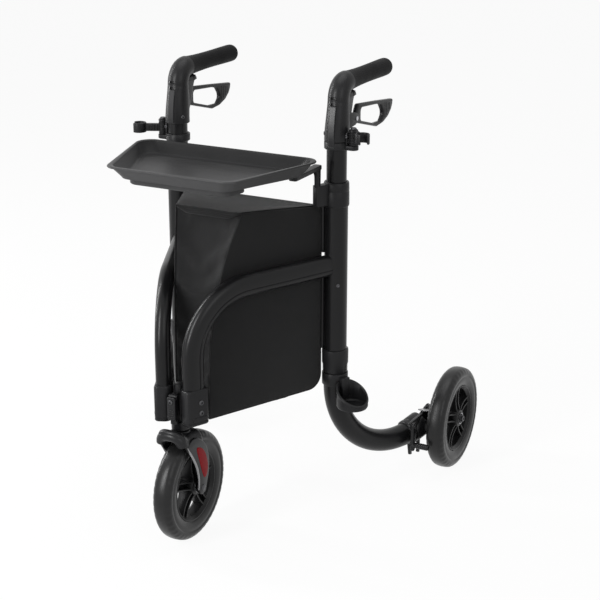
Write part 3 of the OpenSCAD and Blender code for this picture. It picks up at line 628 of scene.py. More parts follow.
def caster():
    place = seat(front_axle)
    arches = [hood_arch(*row, max(HOOD_SQUARE, LIP_SQUARE - LIP_FADE * i)) for i, row in enumerate(HOOD)]
    hood = skin(arches, round_ways=False, caps=False)
    thickened(piece("fork_hood", hood, place, "caster", "cast_black", ["fork"]), HOOD_WALL)
    piece("fork_hood_lip", hood_lip(), place, "caster", "cast_black")
    leg = plate([smooth_line(LEG_OUTLINE, 4, closed=True)], LEG_T, LEG_ROUND)
    crown = upright(turned(CROWN, 48), (0, stem.y - front_axle.y, 0))
    legs = together(side_on(leg, LEG_X), side_on(leg, -LEG_X), crown)
    piece("fork_legs", legs, place, "caster", "cast_black")
    insert = plate([smooth_line(INSERT_OUTLINE, 4, closed=True)], INSERT_T, INSERT_ROUND)
    inserts = together(side_on(insert, LEG_X + INSERT_OUT), side_on(insert, -LEG_X - INSERT_OUT))
    piece("fork_red_inserts", inserts, place, "caster", "red_insert", ["fork_inserts"])
    bolt = turned(both_ends(AXLE_END), 32)
    piece("front_axle_bolt", bolt, place, "caster", "screw_black", ["front_axle"])
    # painted highlight along both legs' front edges
    piece("fork_painted_highlight", together(painted_highlight_strip(-1), painted_highlight_strip(1)), place, "caster", "painted_highlight_grey")


# Head

LATCH_FACE, LATCH_T, LATCH_ROUND = -298.9, 5.6, 1.4  # front, thickness and edge of the latch lever
LATCH_OUTLINE = [(-8, 243, 3.5), (8, 243, 3.5), (8, 286, 3), (-8, 286, 3)]
LATCH_RIBS, LATCH_RIB_Z, LATCH_RIB_PITCH = 4, (249, 250.8), 4
LATCH_EAR = [(-293, 279, 2), (-293, 288, 3), (-283.4, 288.6, 4), (-283.4, 279.4, 4)]
LATCH_EAR_X, LATCH_EAR_T, LATCH_EAR_ROUND = 6.65, 2.7, 0.6
LATCH_BOLT_Z = 277
HEAD_CAP = [(300, 0), (300, 9.6), (301.5, 9.2), (302.4, 7), (302.4, 0)]


def head():
    origin = seat(ORIGIN)
    lever_plate = plate([filleted(LATCH_OUTLINE)], LATCH_T, LATCH_ROUND)
    lever_plate = face_on(lever_plate, LATCH_FACE + LATCH_T / 2)
    ribs = []
    for i in range(LATCH_RIBS):
        low, high = (z + LATCH_RIB_PITCH * i for z in LATCH_RIB_Z)
        ribs.append(block((-6, 6), (LATCH_FACE - 0.9, LATCH_FACE + 1), (low, high), 0.6, 0.5))
    ears = [side_plate(LATCH_EAR, LATCH_EAR_T, LATCH_EAR_ROUND, x) for x in (LATCH_EAR_X, -LATCH_EAR_X)]
    piece("fold_latch_lever", together(lever_plate, *ears, *ribs), origin, "latch", "cast_black",
          ["fold_latch"])
    bolt = shifted(spun(round_screw(0, 4.2, 2.4), -90, "Z"), y=LATCH_FACE + 0.2, z=LATCH_BOLT_Z)
    piece("fold_latch_bolt", bolt, origin, "latch", "screw_black")
    piece("head_cap", upright(turned(HEAD_CAP, 32), (0, stem.y, 0)), origin, "head", "plastic_black")


# Side frames

TUBE_FOOT, TUBE_BEND, TUBE_BAR = 240, 113, 463  # low end, radius of the bend, height of the level part
TUBE_HALF_W, TUBE_HALF_T = 20, 13
GROOVE = [(13, -7), (12.9, -6.6), (12.1, -6.2), (12.1, -4.8), (12.9, -4.4), (13, -4)]
BOW_RISE, BOW_RUN = (TUBE_FOOT, 270, 310), (160, 220, 270)  # stations before and after the bend
BOW_END_R = 20.6  # of the end that meets the column


def tube_section():
    """Flat oval (out, across) with a groove along its outer face."""
    straight = TUBE_HALF_W - TUBE_HALF_T
    ends = []
    for middle_v, start in ((straight, 0), (-straight, pi)):
        for step in range(13):
            turn = start + pi * step / 12
            ends.append((TUBE_HALF_T * cos(turn), middle_v + TUBE_HALF_T * sin(turn)))
    return ends[:-1] + GROOVE


def front_tube(side):
    section = tube_section()
    top = TUBE_BAR - TUBE_BEND
    stations = [((0, z), (-1, 0)) for z in BOW_RISE]
    for step in range(19):
        turn = radians(5 * step)
        out = (-cos(turn), sin(turn))
        stations.append(((TUBE_BEND + TUBE_BEND * out[0], top + TUBE_BEND * out[1]), out))
    stations += [((along, TUBE_BAR), (0, 1)) for along in BOW_RUN]
    rings = [[(u, y + n_y * v, z + n_z * v) for u, v in section] for (y, z), (n_y, n_z) in stations]
    rings.append([(u, REACH - sqrt(BOW_END_R ** 2 - u * u), TUBE_BAR + v) for u, v in section])
    side.add("front_bow", skin(rings), side.frame, "frame", "frame_paint", "front_tube")


CLAMP_LEVELS = [(234, 2.4), (234.7, 1), (236.5, 0), (239, 0), (239.6, 0.6), (240.8, 0.6), (241.4, 0),
                (296.4, 0), (298.6, 0.8), (300, 2.6)]  # height and inset
CLAMP_HALF_T, CLAMP_HALF_W, CLAMP_ROUND, CLAMP_CORNER = 15.5, 22.5, 14, 7
KNUCKLE = [(246.9, 3.2), (246.9, 6.9), (247.5, 7.4), (271.5, 7.4), (272.1, 6.9), (272.1, 3.2)]
BRIDGE_ALONG, BRIDGE_Z = (1, 15), (247, 272)  # between the knuckle and the shoe
CLAMP_RIB = [(-12, 243, 2), (17, 243, 2), (17, 250, 2), (-12, 250, 2)]
SCREW_ALONG, SCREW_HEIGHTS = 5, (257, 276)


def clamp(side):
    """Shoe round the front tube's foot, boxy outside, round towards the head, with its hinge knuckle."""
    rings = []
    for z, inset in CLAMP_LEVELS:
        half_t, half_w, inner_r = CLAMP_HALF_T - inset, CLAMP_HALF_W - inset, CLAMP_ROUND - inset
        outline = filleted([(-half_t, -half_w, inner_r), (half_t, -half_w, CLAMP_CORNER),
                            (half_t, half_w, CLAMP_CORNER), (-half_t, half_w, inner_r)], 6)
        rings.append([(u, v, z) for u, v in outline])
    knuckle = upright(turned(KNUCKLE, 32), (HINGE_OUT, HINGE_ALONG, 0))
    bridge = block((HINGE_OUT + 4, 3 - CLAMP_HALF_T), BRIDGE_ALONG, BRIDGE_Z, 1, 0.6)
    rib = side_plate(CLAMP_RIB, 2, 0.8, CLAMP_HALF_T)
    shoe = together(skin(rings), knuckle, bridge, rib)
    side.add("clamp_shoe", shoe, side.frame, "frame", "plastic_black", "clamp")
    screw = round_screw(CLAMP_HALF_T - 0.6, 4.6, 2.4)
    screws = together(*(shifted(screw, y=SCREW_ALONG, z=z) for z in SCREW_HEIGHTS))
    side.add("clamp_bolts", screws, side.frame, "frame", "screw_black", "clamp_screws")


COLLARS = {
    "upper": [(572, 21.1), (572, 22), (573, 22.8), (575, 23.2), (598, 23), (599, 22.6), (600, 22.6),
              (601, 23), (613, 22.6), (615.4, 21.6), (616, 20), (616, 18.2), (601, 18.2), (600, 21.1)],
    "lower": [(258, 21.1), (258, 22.2), (259, 22.8), (272, 23), (275, 24.2), (299, 24.4), (301.2, 23.8),
              (302, 22.6), (302, 21.1)]}  # height and radius
BUTTON = [(20.6, 0), (20.6, 3.4), (21.6, 3.2), (21.9, 2.2), (21.4, 1.6), (21.4, 0)]
BUTTON_TURN, BUTTON_Z = -53, 428


def collars(side):
    for level, profile in COLLARS.items():
        ring = upright(turned(profile, 64))
        side.add(level + "_ring", ring, side.column, "frame", "plastic_black", level + "_collar")
    button = shifted(spun(turned(BUTTON, 24), BUTTON_TURN, "Z"), z=BUTTON_Z)
    side.add("height_button", button, side.column, "frame", "screw_black")


BEND_ALONG, BEND_Z, BEND_R = 462, 232, 152  # middle and radius of the rear tube's bend
SLEEVE = [(9, 21.2), (9.2, 23), (10, 24.6), (11.5, 25), (13, 25), (13.4, 24.2), (14.4, 24.2), (14.8, 25),
          (24.4, 25), (26, 23.6), (26.4, 20)]  # degrees round the bend, and radius
AXLE_BOSS = [(249, 4.1), (249, 15.5), (250.5, 17), (252, 17), (253, 16), (277, 16), (278, 17),
             (279.6, 17), (281, 15.5), (281, 4.1)]
AXLE_WEB = [(196, 78, 4), (200, 110, 8), (236, 117, 6), (258, 108, 8), (258, 92, 8), (240, 84, 6)]
AXLE_WEBS_X = 253, 277
AXLE_FLOOR = (252, 278), (200, 246), (95, 101)
BRAKE_PLATE = [(135.4, 104, 7.8), (218, 102, 4), (222, 118, 4), (135.4, 119.8, 7.8)]
BRAKE_PIN = [(262, 0), (262, 2.5), (269.6, 2.5), (269.6, 5), (271, 5), (271.8, 4), (271.8, 0)]
GUIDE = [(183, 40, 2), (192, 36, 2), (195, 96, 3), (184, 96, 3)]
HOOK = [(166, 64, 2), (173, 36, 2), (182, 33, 2), (182, 40, 2), (177, 66, 2)]
BRAKE_PLATE_X, GUIDE_X, HOOK_X = 260.1, 258, 246
COVER = [(-10, -20, 4), (10, -20, 4), (10, 20, 4), (-10, 20, 4)]
COVER_PLACE, COVER_LEAN = (259, 221, 115), -18
AXLE_SHAFT = [(-61, 0), (-61, 8), (-56.4, 8.5), (-56, 4), (-19.4, 4), (-19.4, 6.5), (-24, 6.5), (-24, 4),
              (19.4, 4), (19.4, 9), (20.6, 9), (20.6, 0)]


def rear_bend_ring(degrees, r, steps=40):
    """Ring round the rear tube's bend, from its lowest point back."""
    turn = radians(degrees)
    ring = []
    for x, radial in circle(r, steps=steps):
        reach = BEND_R + radial
        ring.append((x, BEND_ALONG + reach * sin(turn), BEND_Z - reach * cos(turn)))
    return ring


def axle_bracket(side):
    """Sleeve on the rear tube's end, with the axle's boss, its webs and the brake plate."""
    sleeve = moved(skin([rear_bend_ring(*station) for station in SLEEVE]), FRAME_TO_WHOLE)
    boss = shifted(turned(AXLE_BOSS, 48), y=rear_axle.y, z=rear_axle.z)
    webs = [side_plate(AXLE_WEB, 6, 1.6, x) for x in AXLE_WEBS_X]
    floor = block(*AXLE_FLOOR, 2, 1.2)
    carrier = side_plate(BRAKE_PLATE, 6, 1.2, BRAKE_PLATE_X)
    pivot = joint_place("left_brake_press")
    pin = shifted(turned(BRAKE_PIN, 24), y=pivot.y, z=pivot.z)
    guide, hook = side_plate(GUIDE, 5, 1.2, GUIDE_X), side_plate(HOOK, 5, 1.2, HOOK_X)
    form = together(sleeve, boss, *webs, floor, carrier, pin, guide, hook)
    side.add("axle_carrier", form, side.whole, "frame", "cast_black", "axle_bracket")
    cover = shifted(spun(plate([filleted(COVER)], 2.4, 0.8), COVER_LEAN, "X"), *COVER_PLACE)
    # the cover plate is drawn in the light grey of the painted highlight
    side.add("axle_cover", cover, side.whole, "frame", "painted_highlight_grey")
    shaft = together(turned(AXLE_SHAFT, 36), hex_bolt(AXLE_SHAFT[-1][0], 11, 3.6, 0.5))
    side.add("axle_shaft", shaft, side.axle, "frame", "screw_black", "rear_axle")


BAR_FORWARD, BAR_DROP, BAR_R = 2, 38, 6  # the brake bar's place under its pivot, and its radius
BAR_START, BAR_SHORT = 10, 6  # where its ribs start, and how far short of the tread's middle it ends
BAR_PITCH, BAR_GROOVE = 4, 0.6
PIN_HOLE_R = 2.6  # in the brake arms and in the housings' ears


def brake(side):
    """Arm on the bracket's pin with a ribbed bar across the tread."""
    pivot = joint_place("left_brake_press")
    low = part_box("left_brake_shoe")[0] / MM
    y, z = pivot.y, pivot.z
    bar_y, bar_z = y - BAR_FORWARD, z - BAR_DROP
    outline = [(bar_y - 5, low.z, 3), (bar_y + 5, low.z, 3), (y + 7, z - 3, 3), (y + 4, z + 7, 5),
               (y - 6, z + 7, 5), (bar_y - 5, z - 6, 6)]
    arm = side_plate(outline, 6, 1, low.x + 3, circle(PIN_HOLE_R, (y, z), 20))
    inner_r, start, end = BAR_R - BAR_GROOVE, low.x + BAR_START, rear_axle.x - BAR_SHORT
    profile = [(low.x + 3, 0), (low.x + 3, inner_r)]
    for i in range(int((end - start) / BAR_PITCH)):
        x = start + BAR_PITCH * i
        profile += [(x, inner_r), (x + 0.8, BAR_R), (x + 2.8, BAR_R), (x + 3.4, inner_r)]
    profile += [(end, BAR_R - 1), (end, 0)]
    bar = shifted(turned(profile, 28), y=bar_y, z=bar_z)
    side.add("brake_arm", together(arm, bar), side.whole, "brake", "cast_black", "brake_shoe")


TRAY_ARM_IN, TRAY_ARM_HALF, TRAY_ARM_T, TRAY_ARM_REAR = 18, 8, 8, -27
TRAY_CLIP_H, TRAY_CLIP_OUT, TRAY_CLIP_ALONG = 38, (-10, 6), (REACH - 47, REACH - 20)


def tray_bracket(side):
    """Block on the upper collar with a slim post that bends into an arm under the tray."""
    low, high = (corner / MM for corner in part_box("left_tray_bracket"))
    arm_x, top, clip_top = column.x - TRAY_ARM_IN, high.z, low.z + TRAY_CLIP_H
    arm = block((arm_x - TRAY_ARM_HALF, arm_x + TRAY_ARM_HALF), (low.y, TRAY_ARM_REAR),
                (top - TRAY_ARM_T, top), 5, 1.6)
    bend = [(-36, clip_top - 4, 2), (-26, clip_top - 4, 2), (-25, top - 1, 4), (-76, top - 1, 2),
            (-76, top - 7, 2), (-37, top - 10, 14)]
    post = side_plate(bend, 9, 2.4, arm_x)
    clip = moved(block(TRAY_CLIP_OUT, TRAY_CLIP_ALONG, (low.z, clip_top), 4, 1.6), FRAME_TO_WHOLE)
    form = together(arm, post, clip)
    side.add("tray_arm", form, side.whole, "frame", "plastic_black", "tray_bracket")


CUP_OUT, CUP_R, CUP_WALL, CUP_LOW, CUP_RIM = 51, 29, 3, 200.4, 229
CUP_EYE = 8  # radius of the innermost rings
CUP_FALL = tan(radians(31))
CUP_BAND = [(233, 21.1), (233, 23.4), (234, 24), (255, 24), (256, 23.4), (256, 21.1)]
CUP_STRAP = (22, 34), (-9, 9), (212, 252)


def cane_cup():
    """Cup for a cane's tip on a band round the rear tube, its rim falling outwards."""
    inner = CUP_R - CUP_WALL
    rings = []
    for r, z, follow in (  # radius, height, and how far the ring takes on the fall of the rim
            (CUP_EYE, CUP_LOW, 0), (CUP_R - 5, CUP_LOW, 0), (CUP_R - 1.6, CUP_LOW + 1.4, 0),
            (CUP_R, CUP_LOW + 4.6, 0), (CUP_R, CUP_RIM - 12, 0.5), (CUP_R, CUP_RIM - 4, 0.9),
            (CUP_R + 0.8, CUP_RIM - 1.4, 1), (CUP_R + 0.4, CUP_RIM, 1), (inner + 1, CUP_RIM, 1),
            (inner, CUP_RIM - 1.2, 1), (inner - 0.2, CUP_RIM - 11, 0.5), (inner - 0.5, CUP_LOW + 6, 0),
            (inner - 3, CUP_LOW + 3.4, 0), (CUP_EYE, CUP_LOW + 3, 0)):
        rings.append([(CUP_OUT + x, y, z - follow * CUP_FALL * x) for x, y in circle(r, steps=48)])
    band, strap = upright(turned(CUP_BAND, 56)), block(*CUP_STRAP, 3, 1.6)
    form, place = together(skin(rings), band, strap), LEFT.frame @ Matrix.Translation((0, REACH, 0))
    piece("cane_cup_shell", form, place, "left_frame", "plastic_black", ["cane_cup"])


# Handles, drawn about the column

HOUSING = [  # height, middle (back), half depth, half width and depth of the front slot
    (689, 0, 21.6, 21.6, 0), (689.8, 0, 22.5, 22.5, 0), (700, 0, 22.5, 22.2, 0), (712, 1.2, 23, 21.6, 0),
    (724, 2.6, 23.2, 20.8, 0), (736, 3.8, 22.6, 20, 0), (746, 4.5, 21.2, 19.4, 0),
    (751.4, 4.7, 20.2, 19.2, 0), (752, 4.7, 20.1, 19.2, 2.6), (755.6, 4.8, 19.5, 19.1, 2.6),
    (756.2, 4.9, 19.4, 19, 0), (757.6, 5, 19.2, 19, 0)]
ELBOW_BACK, ELBOW_Z, ELBOW_R, ELBOW_TUBE = 33, 759, 28, 19
ELBOW_TURNS = [(0, 0), (3.8, 0), (4.5, 2.6), (9, 2.6), (9.7, 0), (17, 0), (25, 0), (35, 0), (45, 0),
               (55, 0), (65, 0), (75, 0), (84, 0), (90, 0)]  # degrees and depth of the front slot
SHELL_STEP = 7.5  # degrees
SEAM_AT, SEAM_TURN, SEAM_DEPTH = 90, 2.2, 0.9  # the housing's joint: degrees, half its width, depth
SLOT_AT, SLOT_TURN, SLOT_WALL = 270, 17, 1.2  # the two front slots: degrees, half width and wall
STRIP_LOW, STRIP_TOP, STRIP_HALF_W, STRIP_OUT = {"left": 679, "right": 692}, 751, 6, 1.6
STRIP_SINK, STRIP_BEVEL = 3, 0.84  # depth of its back in the housing, and share of its flat front
GUSSET = [(4, 701, 1), (23, 700, 10), (36, 727, 30), (44, 754, 40), (54, 770.4, 2), (4, 770.4, 1)]
EAR = [(8, 708, 3), (36, 711, 6), (50, 716, 8), (50, 728, 8), (38, 733, 5), (8, 738, 3)]
EAR_X = 6.8
SHELL_SCREW_PLACE, SHELL_SCREW_TURN = (-18.4, -11.4, 702), 212
GRIP = [(33, 18.6), (37, 18.2), (48, 17.2), (66, 16.2), (95, 15.4), (135, 15.4), (172, 16), (194, 16.1),
        (200, 15.3), (203.6, 13), (205.4, 9.6), (206, 5)]  # back from the column, and radius
GRIP_MOUTH, GRIP_PALM = (32.6, 15), 0.6  # its closed front end, and the swell under the palm
LEVER_LOOP = [(9, 9, 5), (17, 22.4, 7), (98, 13.6, 30), (168, 5.2, 3), (166, -4, 8), (161, -13, 14),
              (147, -24, 20), (125, -31.6, 16), (98, -34, 9), (22, -13.6, 8), (9, -8, 6)]
LEVER_HOLE = [(28, 13.4, 7), (100, 7.2, 20), (115, 3.2, 8), (124.6, -9, 12), (126.4, -17, 9),
              (116, -27, 7), (86, -25.6, 14), (28, -9.6, 7)]
LEVER_TONGUE = [(-5.4, -5.4, 5.2), (14, -8, 2), (14, 8, 2), (-5.4, 5.4, 5.2)]
LEVER_RIDGES = [(131, -23, 4), (138, -19.6, 3), (145, -16, 2), (152, -12, 1)]  # along, low and high end
LEVER_BORE_R, RIDGE_HALF, RIDGE_T = 2.7, 4.9, 2
pull_pivot = joint_place("left_brake_pull") - Vector((column.x, column.y, 0))


def shell_angles():
    """Angles round a housing, each with the depth of its joint and whether a front slot takes it in."""
    turns = [(SHELL_STEP * i, 0) for i in range(int(360 / SHELL_STEP)) if SHELL_STEP * i != SEAM_AT]
    turns += [(SEAM_AT - SEAM_TURN, 0), (SEAM_AT - SEAM_TURN / 2, SEAM_DEPTH),
              (SEAM_AT + SEAM_TURN / 2, SEAM_DEPTH), (SEAM_AT + SEAM_TURN, 0)]
    slot_edges = (SLOT_TURN, SLOT_TURN + SLOT_WALL)
    turns += [(SLOT_AT + end * edge, 0) for end in (-1, 1) for edge in slot_edges]
    return [(radians(turn), groove, abs(turn - SLOT_AT) <= SLOT_TURN) for turn, groove in sorted(turns)]


def housing_front(z):
    for (a, back_a, deep_a, _, _), (b, back_b, deep_b, _, _) in zip(HOUSING, HOUSING[1:]):
        if z <= b:
            share = max(0, (z - a) / (b - a))
            return back_a - deep_a + (back_b - deep_b - back_a + deep_a) * share


def front_strip(low):
    """Flat strip down the front of a housing, with a lip at its lower end."""
    lip = ((0, 0.3), (0.8, 1.5), (2.2, 1.5), (3, 0.9), (4, 1))  # height and size
    levels = [(low + rise, size) for rise, size in lip]
    levels += [(low + 4 + (STRIP_TOP - low - 7) * i / 8, 1) for i in range(1, 9)]
    levels += [(STRIP_TOP - 1, 0.8), (STRIP_TOP, 0.2)]
    rings = []
    for z, size in levels:
        face, w, out = housing_front(z), STRIP_HALF_W * min(1, 0.6 + 0.4 * size), STRIP_OUT * size
        half = [(w, face + STRIP_SINK), (w, face - out * 0.3), (w * STRIP_BEVEL, face - out)]
        rings.append([(-x, y, z) for x, y in half] + [(x, y, z) for x, y in reversed(half)])
    return skin(rings)


def housing(side):
    stations = [(*level, 0) for level in HOUSING]
    for degrees, slot in ELBOW_TURNS:
        bend = radians(degrees)
        stations.append((ELBOW_Z + ELBOW_R * sin(bend), ELBOW_BACK - ELBOW_R * cos(bend),
                         ELBOW_TUBE, ELBOW_TUBE, slot, bend))
    rings = []
    for z, back, depth, width, slot, bend in stations:
        ring = []
        for turn, groove, in_slot in shell_angles():
            inset = groove + slot * in_slot
            deep = (depth - inset) * sin(turn)
            ring.append(((width - inset) * cos(turn), back + deep * cos(bend), z - deep * sin(bend)))
        rings.append(ring)
    bore = circle(PIN_HOLE_R, (pull_pivot.y, pull_pivot.z), 20)
    ears = [side_plate(EAR, 4.4, 1.2, pull_pivot.x + x, bore) for x in (-EAR_X, EAR_X)]
    gusset = side_plate(GUSSET, 26, 8, 0)
    screw = shifted(spun(round_screw(0, 3.4, 1.6), SHELL_SCREW_TURN, "Z"), *SHELL_SCREW_PLACE)
    shell, strip = together(skin(rings), gusset, *ears), front_strip(STRIP_LOW[side.name])
    side.add("handle_shell", shell, side.column, "handle", "housing_plastic", "housing")
    side.add("shell_screw", screw, side.column, "handle", "screw_black")
    side.add("handle_strip", strip, side.column, "handle", "housing_strip", sharp=24)


def grip(side):
    middle_z = ELBOW_Z + ELBOW_R
    start, end = GRIP[0][0], GRIP[-1][0]
    rings = []
    for back, r in [GRIP_MOUTH] + smooth_line(GRIP, 3):
        swell = GRIP_PALM * sin(pi * min(1, (back - start) / (end - start)))
        rings.append([(x, back, middle_z + z + swell * max(0, z / r)) for x, z in circle(r, steps=48)])
    side.add("grip_sleeve", skin(rings), side.column, "handle", "grip_rubber", "grip")


def lever(side):
    """Loop lever with a broad, ridged end for the fingers."""
    loop = side_plate(LEVER_LOOP, 8.8, 2.6, 0, filleted(LEVER_HOLE))
    tongue = side_plate(LEVER_TONGUE, 7.8, 0.8, 0, circle(LEVER_BORE_R, steps=20))
    ridges = [block((-RIDGE_HALF, RIDGE_HALF), (u, u + RIDGE_T), (low, high), 0.9, 0.5)
              for u, low, high in LEVER_RIDGES]
    form, place = together(loop, tongue, *ridges), side.column @ Matrix.Translation(pull_pivot)
    side.add("loop_lever", form, place, "lever", "lever_plastic", "brake_lever")


CLIP_REACH, CLIP_RISE = 44, {"left": 14, "right": 5}
CLIP_RING = [(0, 18.1), (0, 21.4), (1, 22.4), (12.2, 22.5), (13.2, 21.8), (13.6, 18.1)]
CLIP_PIN = [(8, 0), (8, 3), (36.8, 3), (36.8, 5.4), (38.6, 5.4), (39.6, 4.4), (39.6, 0)]
CLIP_ARM, CLIP_TAB = ((14, CLIP_OUT + 9), (-9, 9), (0, 8)), ((18.6, 23.4), (-7, 7), (8, 31))
CLIP_SCREW_PLACE = 21, -6.8, 24
HUB_LOW, HUB_HIGH, HUB_BORE, HUB_R = 8.4, 36.2, 3.1, 8  # ends above the ring, and radii
HUB_GROOVES, HUB_GROOVE_AT, HUB_PITCH, HUB_INNER = 5, 3.6, 4.6, 7.3
CLIP_BAR_H, CLIP_BAR_HALF = 14, 4.5
CLIP_RIDGES, CLIP_RIDGE_X, CLIP_RIDGE_PITCH, CLIP_RIDGE_HALF = 4, (10, 12.4), 5, 5.3
JAW_INNER, JAW_OUTER, JAW_MOUTH, JAW_STEPS, JAW_H = 9.5, 13, radians(37), 24, 18


def clip_mount(side):
    """Ring under the housing with the cane clip's pivot plate and pin."""
    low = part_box(side.name + "_clip_mount")[0].z / MM
    place = side.column @ Matrix.Translation((0, 0, low))
    arm, tab = block(*CLIP_ARM, 8.6, 1.2), block(*CLIP_TAB, 1.6, 1.2)
    ring = together(upright(turned(CLIP_RING, 64)), arm, tab)
    side.add("clip_ring", ring, place, "handle", "plastic_black", "clip_mount")
    pin = upright(turned(CLIP_PIN, 32), (CLIP_OUT, 0, 0))
    screw = shifted(spun(round_screw(0, 3.2, 1.8), -90, "Z"), *CLIP_SCREW_PLACE)
    side.add("clip_pin", together(pin, screw), place, "handle", "screw_black")


def jaw_outline():
    outline = []
    for r, steps in ((JAW_OUTER, range(JAW_STEPS + 1)), (JAW_INNER, range(JAW_STEPS, -1, -1))):
        for step in steps:
            turn = JAW_MOUTH + (2 * pi - 2 * JAW_MOUTH) * step / JAW_STEPS
            outline.append((CLIP_REACH + r * cos(turn), r * sin(turn)))
    return outline


def cane_clip(side):
    """Swinging clip: ribbed hub, flat bar and an open jaw."""
    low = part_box(side.name + "_clip_mount")[0].z / MM
    rise = CLIP_RISE[side.name] + HUB_LOW
    profile = [(HUB_LOW, HUB_BORE), (HUB_LOW, HUB_R - 0.6), (HUB_LOW + 0.8, HUB_R)]
    for i in range(HUB_GROOVES):
        z = HUB_LOW + HUB_GROOVE_AT + HUB_PITCH * i
        profile += [(z, HUB_R), (z + 0.5, HUB_INNER), (z + 1.5, HUB_INNER), (z + 2, HUB_R)]
    profile += [(HUB_HIGH - 0.8, HUB_R), (HUB_HIGH, HUB_R - 0.6), (HUB_HIGH, HUB_BORE)]
    bar = block((4, CLIP_REACH - 10), (-CLIP_BAR_HALF, CLIP_BAR_HALF), (rise, rise + CLIP_BAR_H), 2, 1.4)
    jaw = shifted(plate([jaw_outline()], JAW_H, 1.2), z=rise + CLIP_BAR_H / 2)
    ridges = []
    for i in range(CLIP_RIDGES):
        along = [x + CLIP_RIDGE_PITCH * i for x in CLIP_RIDGE_X]
        across = (-CLIP_RIDGE_HALF, CLIP_RIDGE_HALF)
        ridges.append(block(along, across, (rise + 1.6, rise + 12.4), 0.8, 0.6))
    form = together(upright(turned(profile, 36)), bar, jaw, *ridges)
    place = side.clip @ Matrix.Translation((0, 0, low))
    side.add("cane_jaw", form, place, "clip", "plastic_black", "cane_clip")


# Tray

TRAY_REAR_Y, TRAY_FRONT_Y, TRAY_REAR_HALF, TRAY_FRONT_HALF = -78.97, -291.97, 177, 128
TRAY_CORNER, TRAY_UNDER = 26, 652
TRAY_LEVELS = [  # inset and height, from the middle of the underside round the rim to the floor
    (60, 652), (22, 652), (17.6, 653.4), (16.8, 655.4), (6.6, 670), (5, 672.5), (0.6, 673), (0, 674),
    (0.6, 675.6), (2, 676), (6, 676), (7.6, 675), (8.4, 672.6), (18.8, 658), (20.5, 656), (24, 655.1),
    (30, 655), (34, 655), (35, 654.6), (60, 654.6)]
STEP_FRONT, STEP_REAR = (31, 97), (78, 107)  # of the step below: from the front edge, and half width
STEP_T, STEP_SINK = 12, 5
TRAY_BOSS = [(-22, 0), (-22, 17), (-20.6, 19), (-19, 20), (1, 20.6), (1, 0)]
TRAY_BOSS_IN = 97  # from the rear edge
TRAY_RIBS_X, TRAY_RIB_HALF, TRAY_RIB_ENDS, TRAY_RIB_Z = (-84, -42, 42, 84), 1.5, (8, 34), (-7, 1)


def tray_loop(inset, z, steps=8):
    """Rounded outline of the tray, wide at the rear."""
    lean = atan2(TRAY_REAR_HALF - TRAY_FRONT_HALF, TRAY_REAR_Y - TRAY_FRONT_Y)
    rear, front = TRAY_REAR_Y - inset - TRAY_CORNER, TRAY_FRONT_Y + inset + TRAY_CORNER
    quarter = pi / 2
    corners = [(TRAY_REAR_HALF, rear, 1, -lean, quarter),
               (-TRAY_REAR_HALF, rear, -1, quarter, 2 * quarter + lean),
               (-TRAY_FRONT_HALF, front, -1, 2 * quarter + lean, 3 * quarter),
               (TRAY_FRONT_HALF, front, 1, 3 * quarter, 4 * quarter - lean)]
    loop = []
    for x, y, out, start, end in corners:
        for step in range(steps + 1):
            turn = start + (end - start) * step / steps
            loop.append((x - out * (inset + TRAY_CORNER) + TRAY_CORNER * cos(turn),
                         y + TRAY_CORNER * sin(turn), z))
    return loop


def tray():
    shell = skin([tray_loop(*level) for level in TRAY_LEVELS])
    front, rear = TRAY_FRONT_Y + STEP_FRONT[0], TRAY_FRONT_Y + STEP_REAR[0]
    outline = [(-STEP_FRONT[1], front, 20), (STEP_FRONT[1], front, 20), (STEP_REAR[1], rear, 8),
               (-STEP_REAR[1], rear, 8)]
    step = shifted(plate([filleted(outline)], STEP_T, 3), z=TRAY_UNDER - STEP_SINK)
    boss = upright(turned(TRAY_BOSS, 40), (0, TRAY_REAR_Y - TRAY_BOSS_IN, TRAY_UNDER))
    along = rear + TRAY_RIB_ENDS[0], TRAY_REAR_Y - TRAY_RIB_ENDS[1]
    height = [TRAY_UNDER + z for z in TRAY_RIB_Z]
    ribs = [block((x - TRAY_RIB_HALF, x + TRAY_RIB_HALF), along, height, 1, 0.8) for x in TRAY_RIBS_X]
    form = together(shell, step, boss, *ribs)
    piece("tray_shell", form, seat(ORIGIN), "tray", "tray_plastic", ["tray"])


# Bag

BAG_LOW, BAG_TOP, BAG_REAR = 224, 585, 287
BAG_FRONT = [(42, 224), (44, 300), (50, 380), (64, 453), (86, 520), (118, 585)]  # along, and height
BAG_EDGE = smooth_line(BAG_FRONT, 6)
BAG_FALL = tan(radians(5.5))  # of the top, towards the rear
BAG_CORNER = 28  # rounding of the rear at the bottom
BAG_COUNTS = 24, 20  # points along each side, and along the front and the rear
PANEL_OUT, PANEL_T, PANEL_ROUND, PANEL_REAR = -16.5, 3, 1.2, 290
BODY_OUT, BODY_ROWS = -18.6, 36
BOTTOM_SHRINKS = 0.92, 0.7, 0.46, 0.24, 0.08  # rings of the bottom, from its middle out
BOTTOM_FRONT_IN, BOTTOM_REAR_IN, BOTTOM_HOLD = 3, 2, 0.6
SETTLE_FRAMES, SAG_LIMIT, CLOTH_T = 30, 9, 1.2
LID_TOP, LID_FRONT = 587, 112
LID_SAGS = [(0.95, 8), (0.75, 7.4), (0.5, 5.4), (0.28, 2.8), (0.12, 0.8), (0.04, -0.6),
            (0, -0.2)]  # share that a loop is shrunk by, and sag
HEM_DROPS, HEM_SIDE, HEM_FRONT, HEM_LEAN, HEM_RIPPLE = (0.15, 0.5, 1.0), 4, 9, 2.4, 0.5


def bag_front(z):
    for (a, low), (b, high) in zip(BAG_EDGE, BAG_EDGE[1:]):
        if z <= high:
            return a + (b - a) * (z - low) / (high - low)
    return BAG_EDGE[-1][0]


